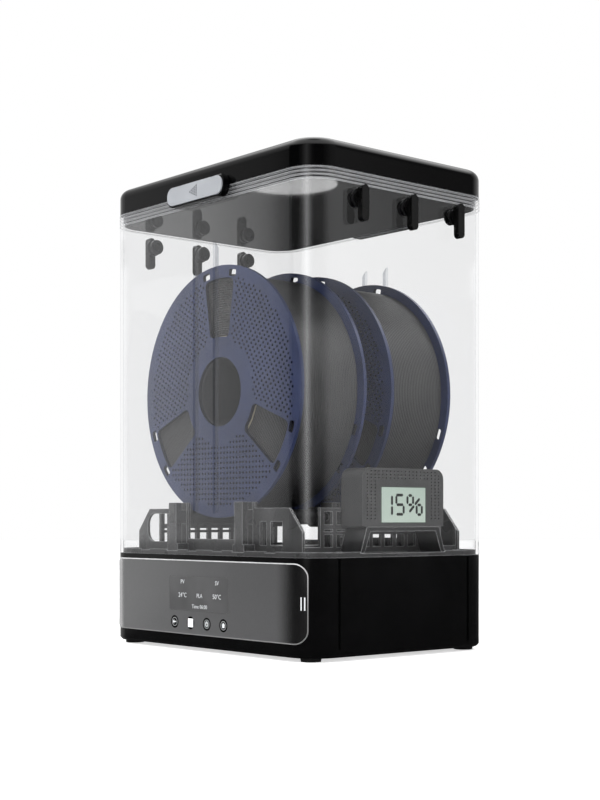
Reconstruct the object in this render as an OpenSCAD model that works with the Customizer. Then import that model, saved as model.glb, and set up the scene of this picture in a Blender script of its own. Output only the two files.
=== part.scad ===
// Filament dryer box: a heated base with a control panel, a clear cover with a latched
// lid, and two filament spools that turn on rollers in the drying chamber.
// X runs across the panel side, Y from the panel side to the rear, Z up from the
// surface that the feet stand on. All sizes are in millimetres.

/* [Box] */
// Width of the box across the control panel side
box_w = 262; // [256:1:300]
// Depth of the box from front to rear
box_d = 192; // [190:1:230]
// Radius of the four upright corners
corner_r = 24; // [20:1:30]

/* [Base] */
// Height of the rubber feet
foot_h = 3; // [2:0.5:6]
// Diameter of a foot
foot_dia = 16; // [10:1:20]
// Height of the base housing
base_h = 73; // [70:1:90]
// Wall of the base housing
base_wall = 3; // [3:0.5:4]
// Bevel round the underside of the housing
base_bevel = 2; // [1:0.5:3]
// Width of the ledge that carries the deck and the cover
ledge_w = 12; // [11:0.5:15]
// Thickness of the ledge
ledge_t = 3; // [2:0.5:5]
// Thickness of the floor plate
floor_t = 2.5; // [2:0.5:4]
// Diameter of a screw boss
boss_dia = 9; // [8:0.5:11]
// Thread diameter of the screws
screw_dia = 2.5; // [2:0.5:3]
// Length of a screw below its head
screw_len = 9; // [7:0.5:12]

/* [Side panels] */
// Length of a side panel
panel_len = 134; // [110:1:140]
// Depth of the recess that takes a side panel
panel_t = 1.5; // [1:0.25:2]
// Width of the groove at the ends of a side panel
panel_groove = 2.5; // [1:0.5:4]
// Height of the panel's lower edge above the housing's underside
panel_low = 5.5; // [4:0.5:10]

/* [Control panel] */
// Width of the glossy fascia across the front
fascia_w = 245; // [200:1:248]
// Height of the fascia
fascia_h = 59; // [56:1:62]
// Height of the fascia's lower edge above the housing's underside
fascia_low = 10; // [7:0.5:12]
// Corner radius of the fascia
fascia_r = 10; // [4:0.5:14]
// Thickness of the fascia
fascia_t = 2; // [1.5:0.25:2.5]
// How far the fascia stands proud of the housing
fascia_proud = 0.5; // [0.25:0.25:1]
// Sideways place of the display and the buttons
display_x = -3; // [-10:0.5:10]
// Width of the display window
display_w = 78; // [60:1:90]
// Height of the display window
display_h = 27; // [20:1:30]
// Height of the display's centre above the housing's underside
display_up = 42.5; // [38:0.5:44]
// Diameter of a button
button_dia = 10; // [8:0.5:12]
// Spacing of the buttons
button_pitch = 21.3; // [18:0.1:24]
// Height of the buttons above the housing's underside
button_up = 19.3; // [18:0.1:22]
// Travel of a button
button_travel = 1; // [0.5:0.1:1.2]
// Distance from the fascia to the control board
board_gap = 11; // [10:0.5:14]
// Thickness of a circuit board
board_t = 1.6; // [1:0.2:2]

/* [Heater and fan] */
// Side of the square fan frame
fan_side = 80; // [70:1:92]
// Depth of the fan frame
fan_t = 15; // [12:1:20]
// Height of the fan above the floor plate
fan_up = 14; // [8:1:16]
// Number of fan blades
fan_blades = 7; // [5:1:9]
// Height of the heater block
heater_t = 20; // [12:1:22]
// Wall of the air duct
duct_wall = 2; // [1.5:0.5:3]
// Place of the duct's centre from the box's centre towards the rear
duct_y = 8; // [4:1:12]

/* [Deck and cradle] */
// Thickness of the deck plate
deck_t = 3; // [2:0.5:4]
// Height of the rim round the deck
deck_rim_h = 4.2; // [3.5:0.1:6]
// Room between the box's sides and the ends of the cradle's end walls
cradle_room_x = 25; // [25:0.5:30]
// Room between the box's ends and the cradle's end walls
cradle_room_y = 14.6; // [14:0.2:18]
// Height of the cradle walls
cradle_h = 34; // [30:1:40]
// Wall of the cradle
cradle_wall = 2.4; // [2:0.2:3]
// Width of the sloping corners on the end walls
cradle_slope_w = 15.5; // [8:0.5:20]
// Height of the sloping corners on the end walls
cradle_slope_h = 18.2; // [8:0.2:20]
// Width of a grid window in the side walls
window_w = 8.5; // [6:0.5:9]
// Spacing of the grid windows
window_pitch = 12.5; // [11:0.5:16]
// Width of an axle pillar
pillar_w = 14; // [12:0.5:18]
// Height of an axle pillar above the cradle's foot
pillar_h = 38.7; // [37:0.1:46]

/* [Rollers] */
// Diameter of a roller
roller_dia = 16; // [14:0.5:20]
// Distance between the two roller axles
roller_span = 86; // [76:1:100]
// Diameter of a roller axle
axle_dia = 6; // [4:0.5:8]
// Gap between a spool's rim and its rollers
roller_gap = 0.2; // [0.1:0.05:0.3]

/* [Spools] */
// Diameter of a spool's flanges
spool_dia = 200; // [190:1:204]
// Gap between the two spools
spool_between = 26.3; // [24:0.1:30]
// Thickness of a flange
flange_t = 3; // [2:0.5:4]
// Diameter of the bore through a spool
spool_bore = 55; // [45:1:60]
// Diameter of the drum that the filament is wound on
drum_dia = 84; // [76:1:90]
// Depth of bare flange outside the wound filament
wound_rim = 7; // [6:0.5:30]
// Shift of the spool pair towards the rear
spool_shift = 1.4; // [0:0.1:2]
// Clearance between the spools and the cradle's end walls
spool_room = 1.75; // [1:0.25:3]

/* [Cover] */
// Height of the clear cover
cover_h = 285.5; // [275:0.5:320]
// Wall of the cover
cover_wall = 2.5; // [2:0.25:3]
// Height of the foot flange round the cover
cover_foot_h = 4.5; // [3:0.5:6]
// How far the foot flange and the ribs stand proud of the wall
rib_proud = 0.4; // [0.2:0.1:0.5]
// Number of ribs round the top of the cover
rib_count = 4; // [2:1:5]
// Spacing of the ribs
rib_pitch = 2.7; // [2:0.1:3]
// Height of a rib
rib_h = 1.2; // [0.8:0.1:1.6]
// Distance of the upright fins from the middle of the front and rear walls
fin_x = 13; // [8:0.5:30]
// Thickness of an upright fin
fin_t = 3; // [2:0.5:4]
// Depth of an upright fin
fin_depth = 3.5; // [2:0.5:5]
// Height of the fins' lower ends above the cover's foot
fin_low = 32; // [20:1:60]
// Height of the fins' upper ends above the cover's foot
fin_high = 247; // [200:1:255]

/* [Filament ports] */
// Height of the ports below the top of the cover
port_down = 20.2; // [18:0.2:30]
// Spacing of the three ports on a side
port_pitch = 51; // [40:1:56]
// Shift of the port row towards the rear
port_shift = 1.5; // [0:0.5:4]
// Diameter of the port in the wall
port_dia = 10; // [8:0.5:11]
// Diameter of a plug's stem
plug_stem_dia = 6; // [4:0.5:7]
// Width of a plug's pull tab
plug_tab_w = 7; // [6:0.5:8]
// Thickness of a plug's pull tab
plug_tab_t = 5; // [3:0.5:6]
// Reach of the pull tab below the port
plug_tab_low = 18; // [12:0.5:22]
// Reach of the pull tab above the port
plug_tab_high = 9; // [7:0.5:12]

/* [Lid and latches] */
// Height of the lid above the cover
lid_h = 21.2; // [18:0.2:26]
// Wall of the lid
lid_wall = 3; // [2:0.5:4]
// Radius of the lid's top edge
lid_edge_r = 8; // [4:0.5:9]
// Depth of the liner below the lid's rim
liner_drop = 8.8; // [8:0.2:12]
// Wall of the liner
liner_wall = 2; // [1.5:0.5:3]
// Width of a latch
latch_w = 74; // [60:1:90]
// Height of a latch
latch_h = 17.5; // [15:0.5:20]
// Thickness of a latch
latch_t = 5.6; // [5.6:0.2:7]
// Height of the latch's lower edge below the lid's rim
latch_drop = 9.3; // [8:0.1:12]
// Thickness of the latch's face plate
latch_face_t = 1.2; // [0.8:0.1:2]
// Diameter of a latch pin
latch_pin_dia = 2; // [1.6:0.2:2.4]

/* [Hygrometer] */
// Depth of the hygrometer case
hygro_depth = 23; // [18:0.5:23.5]
// Length of the hygrometer case
hygro_len = 86.5; // [70:0.5:95]
// Height of the hygrometer case
hygro_h = 44; // [36:1:60]
// Corner radius of the case
hygro_r = 8; // [3:0.5:12]
// Width of the screen
screen_w = 47.5; // [36:0.5:60]
// Height of the screen
screen_h = 27.5; // [20:0.5:30]
// Height of the screen's lower edge above the case's lower edge
screen_up = 2.5; // [2:0.5:6]
// Height of the stand under the case
stand_h = 19.7; // [14:0.1:24]
// Thickness of the stand
stand_t = 3.5; // [2:0.5:5]
// How far the stand's legs spread at each end
stand_spread = 6.5; // [2:0.5:10]

/* [Hidden] */
$fn = 64;
eps = 0.01;

// Clearances
seat_gap = 0.3;      // between pieces that seat on different bodies
slip = 0.15;         // round a panel or lens in its recess
run_fit = 0.08;      // radial, round a turning or sliding stem
fixed_fit = 0.05;    // radial, round a pin or screw that stays put

// Levels
base_z = foot_h;
base_top = base_z + base_h;
floor_top = base_z + floor_t;
deck_top = base_top + deck_t;
cover_top = base_top + cover_h;
lid_z = cover_top + seat_gap;
lid_top = lid_z + lid_h;
port_z = cover_top - port_down;

// Inner edges, as insets from the box's outline
deck_in = cover_wall + seat_gap;
gasket_in = cover_wall + seat_gap;
liner_in = gasket_in + 1.2;

// Screws
head_r = screw_dia;
head_t = 1.6;
boss_r = boss_dia / 2;
boss_bite = 0.8;
floor_boss_x = 90;
floor_boss_y = box_d / 2 - base_wall - boss_r + boss_bite;
side_boss_x = box_w / 2 - base_wall - boss_r + boss_bite;
floor_boss_places = [[-floor_boss_x, -floor_boss_y], [floor_boss_x, -floor_boss_y],
    [-floor_boss_x, floor_boss_y], [floor_boss_x, floor_boss_y],
    [-side_boss_x, 0], [side_boss_x, 0]];
deck_screw_x = box_w / 2 - ledge_w + (ledge_w - deck_in) / 2;
deck_screw_y = box_d / 2 - corner_r - 10;

// Vents, feet and mains inlet
vent_count = 10;
vent_pitch = 9;
vent_w = 4;
vent_h = 24;
vent_x = -70;
vent_z = base_z + 14;
foot_in = foot_dia / 2 + 9;
foot_x = box_w / 2 - foot_in;
foot_y = box_d / 2 - foot_in + 2;
inlet_x = 62;
inlet_z = base_z + 24;
inlet_w = 22;
inlet_h = 12;
inlet_r = 5;
inlet_depth = 16;
inlet_wall = 1.5;
blade_x = 4.3;

// Control panel
fascia_mid = base_z + fascia_low + fascia_h / 2;
display_z = base_z + display_up;
button_z = base_z + button_up;
fascia_back = -box_d / 2 + fascia_t;
board_front = fascia_back + board_gap;
button_flange_r = button_dia / 2 + 1.5;
button_flange_t = 1.2;
switch_w = 6;
switch_t = 3.5;
switch_reach = 5;
switch_stem_r = 1.75;
button_tip = board_front - switch_reach - button_travel - 0.2;
button_stem_r = 2;
backing_w = display_w + 12;
standoff_x = backing_w / 2 + 7;
board_w = 2 * standoff_x + 12;
board_low = base_z + 7;
board_high = display_z + display_h / 2 + 7;
standoff_z = [board_low + 6, board_high - 6];
standoff_r = 3;
chip_w = 14;
chip_t = 4;
header_w = 22;
header_t = 9;
header_h = 8;

// Power board
power_edge = 14;
power_w = 52;
power_l = 80;
power_post_h = 4;
power_post_r = 2.5;
power_post_in = 5;
transformer_w = 24;
transformer_l = 28;
transformer_h = 22;
inductor_w = 14;
inductor_l = 18;
inductor_h = 12;
capacitor_r = 6;
capacitor_h = 20;

// Duct, fan and heater
duct_in = fan_side + 2 * seat_gap;
duct_out = duct_in + 2 * duct_wall;
fan_z = floor_top + fan_up;
heater_z = fan_z + fan_t;
fan_bore_r = fan_side / 2 - 2;
fan_hub_r = 14;
fan_shaft_r = 1.5;
motor_t = 2.5;
strut_w = 3;
duct_post = 8;
heater_wall = 3;
heater_fins = 13;
heater_fin_pitch = 5;
heater_fin_t = 0.8;

// Cradle, rollers and spools
spool_r = spool_dia / 2;
roller_r = roller_dia / 2;
axle_r = axle_dia / 2;
wound_r = spool_r - wound_rim;
end_wall_in = box_d / 2 - cradle_room_y;
spool_pitch = end_wall_in - spool_room + spool_between / 2;
spool_w = spool_pitch - spool_between;
wall_front = spool_shift - end_wall_in;
wall_rear = spool_shift + end_wall_in;
pillar_out = box_d / 2 - cover_wall - 0.5;
pillar_above = 11.5;
roller_z = deck_top + pillar_h - pillar_above;
spool_z = roller_z + sqrt(pow(spool_r + roller_r + roller_gap, 2) - pow(roller_span / 2, 2));
front_spool_y = spool_shift - spool_pitch / 2;
rear_spool_y = spool_shift + spool_pitch / 2;
pillar_in = roller_span / 2 - pillar_w / 2;
pillar_edge = roller_span / 2 + pillar_w / 2;
mid_pillar_t = spool_between / 3;
cradle_half_w = box_w / 2 - cradle_room_x;
cradle_side = cradle_half_w - 2;
cradle_foot_t = 2.4;
cradle_screw_x = cradle_side - cradle_wall - 6;
cradle_screw_y = end_wall_in - 12;
notch_floor = 9.7;
window_bands = [[4.3, 10.6], [16.1, 17.6], [21.4, 28.3]];
tread_w = 8;
roller_waist = 2;
roller_end = 1.2;

// Spool flanges: the windows widen outwards, from a half width at the hub
window_in_r = drum_dia / 2 + 1.5;
window_out_r = spool_r - 10;
window_half_w = 12;
window_taper = 0.15;
window_round = 4.5;
window_meet = 0.6;
slot_r = spool_r - 6;
slot_tilt = 10.3;
slot_l = 9;
slot_w = 5.4;
hub_wall = 3;

// Hygrometer
hygro_out = box_w / 2 - cover_wall - 0.5;
hygro_z = deck_top + stand_h + 0.3;
hygro_y = 0.5;
hygro_mid = hygro_z + hygro_h / 2;
hygro_wall = 2;
hygro_foot_half = hygro_len / 2 + 1.5;
screen_z = hygro_z + screen_up + screen_h / 2;
works_edge = 4;
works_t = 9;
cell_r = 6;
cell_t = 3.2;
dot_r = 0.65;
dot_cols = 20;
dot_rows = 15;
dot_border = 3;
dot_pitch_y = 4;
dot_pitch_z = 2.55;
dot_low = hygro_z + 5.8;

// Ports and plugs
bush_flange_t = 1.5;
bush_flange_w = 2;
bush_nut_t = 2.5;
bush_nut_w = 1.2;
plug_flange_t = 1.5;
plug_flange_w = 1;

// Latches, drawn at the front and turned for the rear
latch_back = -box_d / 2 - rib_proud - seat_gap;
latch_top_r = latch_t / 2;
latch_pin_y = latch_back - latch_top_r;
latch_low = lid_z - latch_drop;
latch_pin_z = latch_low + latch_h - latch_top_r - 0.2;
ear_in = 16;
ear_x = latch_w / 2 - ear_in;
pin_in = 9;
ear_w = 4;
ear_r = 1.9;

// ---- Shared shapes ----

// Rounded rectangle in the XY plane
module round_rect(w, d, r) {
    square([w - 2 * r, d], center = true);
    square([w, d - 2 * r], center = true);
    for (x = [-1, 1], y = [-1, 1])
        translate([x * (w / 2 - r), y * (d / 2 - r)]) circle(r);
}

// The box's outline, set in by a distance
module box_outline(inset = 0) {
    round_rect(box_w - 2 * inset, box_d - 2 * inset, corner_r - inset);
}

// Solid with the box's outline between two heights
module box_prism(inset, low, high) {
    translate([0, 0, low]) linear_extrude(high - low) box_outline(inset);
}

// Ring between two insets of the box's outline
module box_ring(inset_out, inset_in, low, high) {
    translate([0, 0, low]) linear_extrude(high - low) difference() {
        box_outline(inset_out);
        box_outline(inset_in);
    }
}

// Rounded plate that faces -Y, given by its centre, width, height and depth range
module front_plate(x, z, w, h, r, y_low, y_high) {
    translate([x, y_high, z]) rotate([90, 0, 0])
        linear_extrude(y_high - y_low) round_rect(w, h, r);
}

// Cylinder along Y from one place to another
module rod_y(r, x, z, y_low, y_high) {
    translate([x, y_high, z]) rotate([90, 0, 0]) cylinder(r = r, h = y_high - y_low);
}

// Cylinder along X from one place to another
module rod_x(r, y, z, x_low, x_high) {
    translate([x_low, y, z]) rotate([0, 90, 0]) cylinder(r = r, h = x_high - x_low);
}

// Countersunk or pan screw, its head's underside at the origin and its shank down
module screw() {
    difference() {
        union() {
            cylinder(r = head_r, h = head_t);
            translate([0, 0, -screw_len]) cylinder(d = screw_dia, h = screw_len + eps);
        }
        for (turn = [0, 90])
            rotate([0, 0, turn]) translate([-1.4, -0.3, head_t - 0.8]) cube([2.8, 0.6, 1]);
    }
}

// ---- Base ----

// Half outline of a block's edge: bevel below, round above
module block_edge(reach, h, bevel, round) {
    union() {
        polygon([[0, 0], [reach - bevel, 0], [reach, bevel], [reach, h - round],
            [reach - round, h], [0, h]]);
        if (round > 0) translate([reach - round, h - round]) circle(round);
    }
}

// Block with the box's outline, a bevelled lower edge and a rounded upper edge
module box_block(h, bevel, round) {
    straight_w = box_w - 2 * corner_r;
    straight_d = box_d - 2 * corner_r;
    for (x = [-1, 1], y = [-1, 1])
        translate([x * straight_w / 2, y * straight_d / 2, 0])
            rotate_extrude() block_edge(corner_r, h, bevel, round);
    for (side = [0, 180]) {
        rotate([0, 0, side]) translate([-straight_w / 2, 0, 0]) rotate([90, 0, 90])
            linear_extrude(straight_w) block_edge(box_d / 2, h, bevel, round);
        rotate([0, 0, side]) translate([0, straight_d / 2, 0]) rotate([90, 0, 0])
            linear_extrude(straight_d) block_edge(box_w / 2, h, bevel, round);
    }
}

// Recess and outline of the fascia, wrapped round the front corners
module fascia_shape(proud, thickness, grow) {
    intersection() {
        box_ring(-proud, thickness, base_z, base_top);
        front_plate(0, fascia_mid, fascia_w + 2 * grow, fascia_h + 2 * grow,
            fascia_r + grow, -box_d / 2 - 2, -box_d / 2 + corner_r);
    }
}

module base_shell() {
    color([0.05, 0.05, 0.055]) difference() {
        union() {
            difference() {
                translate([0, 0, base_z]) box_block(base_h, base_bevel, 0);
                box_prism(base_wall, base_z - 1, base_top - ledge_t);
                box_prism(ledge_w, base_top - ledge_t - 1, base_top + 1);
            }
            for (place = floor_boss_places)
                translate([place[0], place[1], floor_top])
                    cylinder(r = boss_r, h = base_top - ledge_t - floor_top + 1);
            for (x = [-1, 1], z = standoff_z)
                rod_y(standoff_r, display_x + x * standoff_x, z,
                    -box_d / 2 + base_wall - 0.5, board_front);
        }
        for (place = floor_boss_places)
            translate([place[0], place[1], floor_top - 1])
                cylinder(r = screw_dia / 2 + fixed_fit, h = screw_len + 3);
        for (x = [-1, 1], y = [-1, 1])
            translate([x * deck_screw_x, y * deck_screw_y, base_top - ledge_t - 1])
                cylinder(r = screw_dia / 2 + fixed_fit, h = ledge_t + 2);
        fascia_shape(5, fascia_t, slip);
        front_plate(display_x, display_z, backing_w, display_h + 6, 3,
            -box_d / 2 - 1, -box_d / 2 + base_wall + 1);
        front_plate(display_x, button_z, 3 * button_pitch + 2 * button_flange_r + 4,
            2 * button_flange_r + 2, 3, -box_d / 2 - 1, -box_d / 2 + base_wall + 1);
        for (side = [-1, 1]) side_recess(side);
        inlet_hole();
        rear_vents();
    }
}

// Recess for a side panel, with its two end grooves
module side_recess(side) {
    reach = panel_len / 2 + panel_groove;
    translate([side * (box_w / 2 - panel_t / 2 + 1), 0, base_z + panel_low + base_h / 2])
        cube([panel_t + 2, 2 * reach, base_h], center = true);
}

module side_panel(side) {
    panel_h = base_h - panel_low - 2 * seat_gap;
    color([0.06, 0.06, 0.065])
        translate([side * (box_w / 2 - panel_t / 2), 0,
            base_z + panel_low + seat_gap + panel_h / 2])
            cube([panel_t, panel_len, panel_h], center = true);
}

module side_panel_left() {
    side_panel(-1);
}

module side_panel_right() {
    side_panel(1);
}

// Vent slots low in the rear wall
module rear_vents() {
    for (i = [0 : vent_count - 1])
        translate([vent_x + i * vent_pitch, box_d / 2 - base_wall - 1, vent_z])
            cube([vent_w, base_wall + 2, vent_h]);
}

module base_floor() {
    color([0.08, 0.08, 0.085]) difference() {
        box_prism(base_wall + slip, base_z, floor_top);
        for (place = floor_boss_places) translate([place[0], place[1], base_z - 1]) {
            cylinder(r = screw_dia / 2 + fixed_fit, h = floor_t + 2);
            cylinder(r = head_r + fixed_fit, h = head_t + 1 + eps);
        }
        for (i = [-5 : 5], j = [-1, 1])
            translate([i * 7 - 1.5, duct_y + j * 19 - 14, base_z - 1])
                cube([3, 28, floor_t + 2]);
    }
}

module floor_screws() {
    color([0.5, 0.5, 0.52]) for (place = floor_boss_places)
        translate([place[0], place[1], base_z + head_t]) rotate([180, 0, 0]) screw();
}

module rubber_feet() {
    color([0.03, 0.03, 0.03]) for (x = [-1, 1], y = [-1, 1])
        translate([x * foot_x, y * foot_y, 0])
            cylinder(d1 = foot_dia - 1, d2 = foot_dia, h = foot_h);
}

// ---- Control panel ----

module front_fascia() {
    color([0.22, 0.22, 0.23]) difference() {
        fascia_shape(fascia_proud, fascia_t, 0);
        front_plate(display_x, display_z, display_w + 2 * slip, display_h + 2 * slip, 2,
            -box_d / 2 - 2, -box_d / 2 + fascia_t + 1);
        for (i = [0 : 3])
            rod_y(button_dia / 2 + run_fit, button_x(i), button_z,
                -box_d / 2 - 2, -box_d / 2 + fascia_t + 1);
    }
}

module display_window() {
    color([0.12, 0.12, 0.13, 0.8])
        front_plate(display_x, display_z, display_w, display_h, 2 - slip,
            -box_d / 2 - fascia_proud, fascia_back);
}

module display_module() {
    color([0.1, 0.12, 0.16]) union() {
        front_plate(display_x, display_z, display_w + 4, display_h + 3, 1,
            fascia_back + seat_gap, fascia_back + 4);
        front_plate(display_x, display_z, display_w - 16, display_h - 8, 1,
            fascia_back + 3, board_front);
    }
}

function button_x(i) = display_x + (i - 1.5) * button_pitch;

module control_board() {
    color([0.08, 0.3, 0.16]) difference() {
        union() {
            translate([display_x - board_w / 2, board_front, board_low])
                cube([board_w, board_t, board_high - board_low]);
            for (i = [0 : 3]) {
                translate([button_x(i) - switch_w / 2, board_front - switch_t,
                    button_z - switch_w / 2])
                    cube([switch_w, switch_t + eps, switch_w]);
                rod_y(switch_stem_r, button_x(i), button_z, board_front - switch_reach,
                    board_front - switch_t + 0.5);
            }
            translate([display_x - 20, board_front + board_t - eps, board_low + 18])
                cube([chip_w, chip_t, chip_w]);
            translate([display_x + 12, board_front + board_t - eps, board_low + 24])
                cube([header_w, header_t, header_h]);
        }
        for (x = [-1, 1], z = standoff_z)
            rod_y(1.2, display_x + x * standoff_x, z, board_front - 1,
                board_front + board_t + 1);
    }
}

module button(i) {
    color([0.1, 0.1, 0.11]) union() {
        rod_y(button_dia / 2, button_x(i), button_z, -box_d / 2 - fascia_proud,
            fascia_back + seat_gap + eps);
        rod_y(button_flange_r, button_x(i), button_z, fascia_back + seat_gap,
            fascia_back + seat_gap + button_flange_t);
        rod_y(button_stem_r, button_x(i), button_z,
            fascia_back + seat_gap + button_flange_t - eps, button_tip);
    }
}

module button_back() {
    button(0);
}

module button_stop() {
    button(1);
}

module button_power() {
    button(2);
}

module button_home() {
    button(3);
}

// ---- Heater and fan ----

module air_duct() {
    color([0.75, 0.75, 0.72]) translate([0, duct_y, 0]) difference() {
        translate([-duct_out / 2, -duct_out / 2, floor_top])
            cube([duct_out, duct_out, base_top - floor_top]);
        translate([-duct_in / 2, -duct_in / 2, fan_z])
            cube([duct_in, duct_in, base_top - fan_z + 1]);
        translate([-duct_in / 2 + duct_post, -duct_in / 2 + duct_post, floor_top - 1])
            cube([duct_in - 2 * duct_post, duct_in - 2 * duct_post, base_top]);
        for (turn = [0, 90]) rotate([0, 0, turn])
            translate([-duct_in / 2 + duct_post, -duct_out, floor_top - 1])
                cube([duct_in - 2 * duct_post, 2 * duct_out, fan_up - 2]);
    }
}

module fan_frame() {
    color([0.06, 0.06, 0.06]) translate([0, duct_y, fan_z]) difference() {
        union() {
            linear_extrude(fan_t) difference() {
                square(fan_side, center = true);
                circle(fan_bore_r);
            }
            linear_extrude(motor_t) {
                circle(fan_hub_r + 1);
                for (turn = [30, 150, 270]) rotate(turn)
                    translate([0, -strut_w / 2]) square([fan_bore_r + 1.5, strut_w]);
            }
        }
        translate([0, 0, -1]) cylinder(r = fan_shaft_r + run_fit, h = motor_t + 2);
        for (x = [-1, 1], y = [-1, 1])
            translate([x * (fan_side / 2 - 4.5), y * (fan_side / 2 - 4.5), -1])
                cylinder(r = 2.2, h = fan_t + 2);
    }
}

module fan_rotor() {
    blade_len = fan_bore_r - fan_hub_r - 1;
    color([0.09, 0.09, 0.1]) translate([0, duct_y, fan_z]) union() {
        translate([0, 0, motor_t + 0.5]) cylinder(r = fan_hub_r, h = fan_t - motor_t - 1);
        translate([0, 0, 0.3]) cylinder(r = fan_shaft_r, h = motor_t + 1);
        intersection() {
            for (i = [0 : fan_blades - 1]) rotate([0, 0, i * 360 / fan_blades])
                translate([fan_hub_r - 1, 0, fan_t / 2 + 1]) rotate([50, 0, 0])
                    translate([0, -9, -0.7]) cube([blade_len + 6, 18, 1.4]);
            translate([0, 0, motor_t + 0.6])
                cylinder(r = fan_bore_r - 1.2, h = fan_t - motor_t - 1.4);
        }
    }
}

module heater() {
    inner = fan_side - 2 * heater_wall;
    bar_w = 6;
    color([0.72, 0.72, 0.7]) translate([0, duct_y, heater_z]) union() {
        difference() {
            translate([-fan_side / 2, -fan_side / 2, 0])
                cube([fan_side, fan_side, heater_t]);
            translate([-inner / 2, -inner / 2, -1]) cube([inner, inner, heater_t + 2]);
        }
        for (y = [-1, 1])
            translate([-inner / 2 - 1, y * inner / 4 - bar_w / 2, 2])
                cube([inner + 2, bar_w, heater_t - 4]);
        for (i = [0 : heater_fins - 1])
            translate([(i - (heater_fins - 1) / 2) * heater_fin_pitch - heater_fin_t / 2,
                -inner / 2 - 1, 3])
                cube([heater_fin_t, inner + 2, heater_t - 6]);
    }
}

module power_board() {
    top = power_post_h + board_t - eps;
    color([0.1, 0.28, 0.18])
        translate([-box_w / 2 + power_edge, duct_y - 0.4 * power_l, floor_top]) union() {
            translate([0, 0, power_post_h]) cube([power_w, power_l, board_t]);
            for (x = [power_post_in, power_w - power_post_in],
                y = [power_post_in, power_l - power_post_in])
                translate([x, y, 0]) cylinder(r = power_post_r, h = power_post_h + eps);
            translate([0.15 * power_w, 0.125 * power_l, top])
                cube([transformer_w, transformer_l, transformer_h]);
            translate([0.77 * power_w, 0.2 * power_l, top])
                cylinder(r = capacitor_r, h = capacitor_h);
            translate([0.35 * power_w, 0.7 * power_l, top])
                cylinder(r = capacitor_r, h = capacitor_h - 2);
            translate([0.58 * power_w, 0.625 * power_l, top])
                cube([inductor_w, inductor_l, inductor_h]);
        }
}

// Opening for the mains inlet in the rear wall
module inlet_hole() {
    front_plate(inlet_x, inlet_z, inlet_w + 2 * slip, inlet_h + 2 * slip, inlet_r,
        box_d / 2 - base_wall - 1, box_d / 2 + 1);
}

module power_inlet() {
    color([0.04, 0.04, 0.045]) union() {
        difference() {
            union() {
                front_plate(inlet_x, inlet_z, inlet_w, inlet_h, inlet_r,
                    box_d / 2 - inlet_depth, box_d / 2);
                front_plate(inlet_x, inlet_z, inlet_w + 6, inlet_h + 6, inlet_r,
                    box_d / 2 - base_wall - 2, box_d / 2 - base_wall);
            }
            front_plate(inlet_x, inlet_z, inlet_w - 2 * inlet_wall,
                inlet_h - 2 * inlet_wall, inlet_r - 1,
                box_d / 2 - inlet_depth + 3, box_d / 2 + 1);
        }
        for (x = [-1, 1])
            rod_y(1.2, inlet_x + x * blade_x, inlet_z, box_d / 2 - inlet_depth + 2,
                box_d / 2 - 3);
    }
}

// ---- Deck and cradle ----

module deck() {
    grille = duct_in - 10;
    slots = 9;
    slot_t = 4;
    rim_y = box_d / 2 - deck_in - 1;
    color([0.16, 0.16, 0.17]) difference() {
        union() {
            box_prism(deck_in, base_top, deck_top);
            box_ring(deck_in, deck_in + 2, base_top, base_top + deck_rim_h);
        }
        for (x = [-1, 1], y = [-1, 1])
            translate([x * deck_screw_x, y * deck_screw_y, base_top - 1])
                cylinder(r = screw_dia / 2 + fixed_fit, h = deck_t + 2);
        for (x = [-1, 1], y = [-1, 1])
            translate([x * cradle_screw_x, y * cradle_screw_y + spool_shift, base_top - 1])
                cylinder(r = screw_dia / 2 + fixed_fit, h = deck_t + 2);
        for (i = [0 : slots - 1])
            translate([(i - (slots - 1) / 2) * grille / slots - slot_t / 2,
                duct_y - grille / 2, base_top - 1])
                cube([slot_t, grille, deck_t + 2]);
        for (x = [-1, 1], i = [-3 : 3])
            translate([x * (cradle_side - 22) - 8, i * 16 - slot_t / 2, base_top - 1])
                cube([16, slot_t, deck_t + 2]);
        for (x = [-1, 1], y = [-1, 1]) {
            rim_notch(x * roller_span / 2, y * rim_y, pillar_w + 2 * seat_gap, 6);
            rim_notch(x * box_w / 16, y * rim_y, 12, 6);
            rim_notch(x * box_w * 0.31, y * rim_y, 12, 6);
        }
        rim_notch(hygro_out, hygro_y, 8, 2 * (hygro_foot_half + seat_gap));
    }
}

// Gap in the deck's rim, where a pillar or the stand comes up to the cover
module rim_notch(x, y, w, l) {
    translate([x - w / 2, y - l / 2, deck_top]) cube([w, l, deck_rim_h]);
}

module deck_screws() {
    color([0.5, 0.5, 0.52]) for (x = [-1, 1], y = [-1, 1])
        translate([x * deck_screw_x, y * deck_screw_y, deck_top]) screw();
}

module cradle_screws() {
    color([0.5, 0.5, 0.52]) for (x = [-1, 1], y = [-1, 1])
        translate([x * cradle_screw_x, y * cradle_screw_y + spool_shift,
            deck_top + cradle_foot_t]) screw();
}

// End wall of the cradle in the XZ plane, from its foot up
module end_wall_outline() {
    notch = pillar_in + 1;
    polygon([[-cradle_half_w, 0], [-cradle_half_w, cradle_h - cradle_slope_h],
        [-cradle_half_w + cradle_slope_w, cradle_h], [-notch, cradle_h],
        [-notch, notch_floor], [notch, notch_floor], [notch, cradle_h],
        [cradle_half_w - cradle_slope_w, cradle_h],
        [cradle_half_w, cradle_h - cradle_slope_h], [cradle_half_w, 0]]);
}

// D-shaped opening, its straight side at the origin and its round side towards -X
module d_opening() {
    d_h = 23;
    d_r = 9;
    translate([-d_r, 0]) {
        square([d_r, d_h]);
        translate([0, d_r]) circle(d_r);
        translate([0, d_h - d_r]) circle(d_r);
        translate([-d_r, d_r]) square([d_r + eps, d_h - 2 * d_r]);
    }
}

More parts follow.
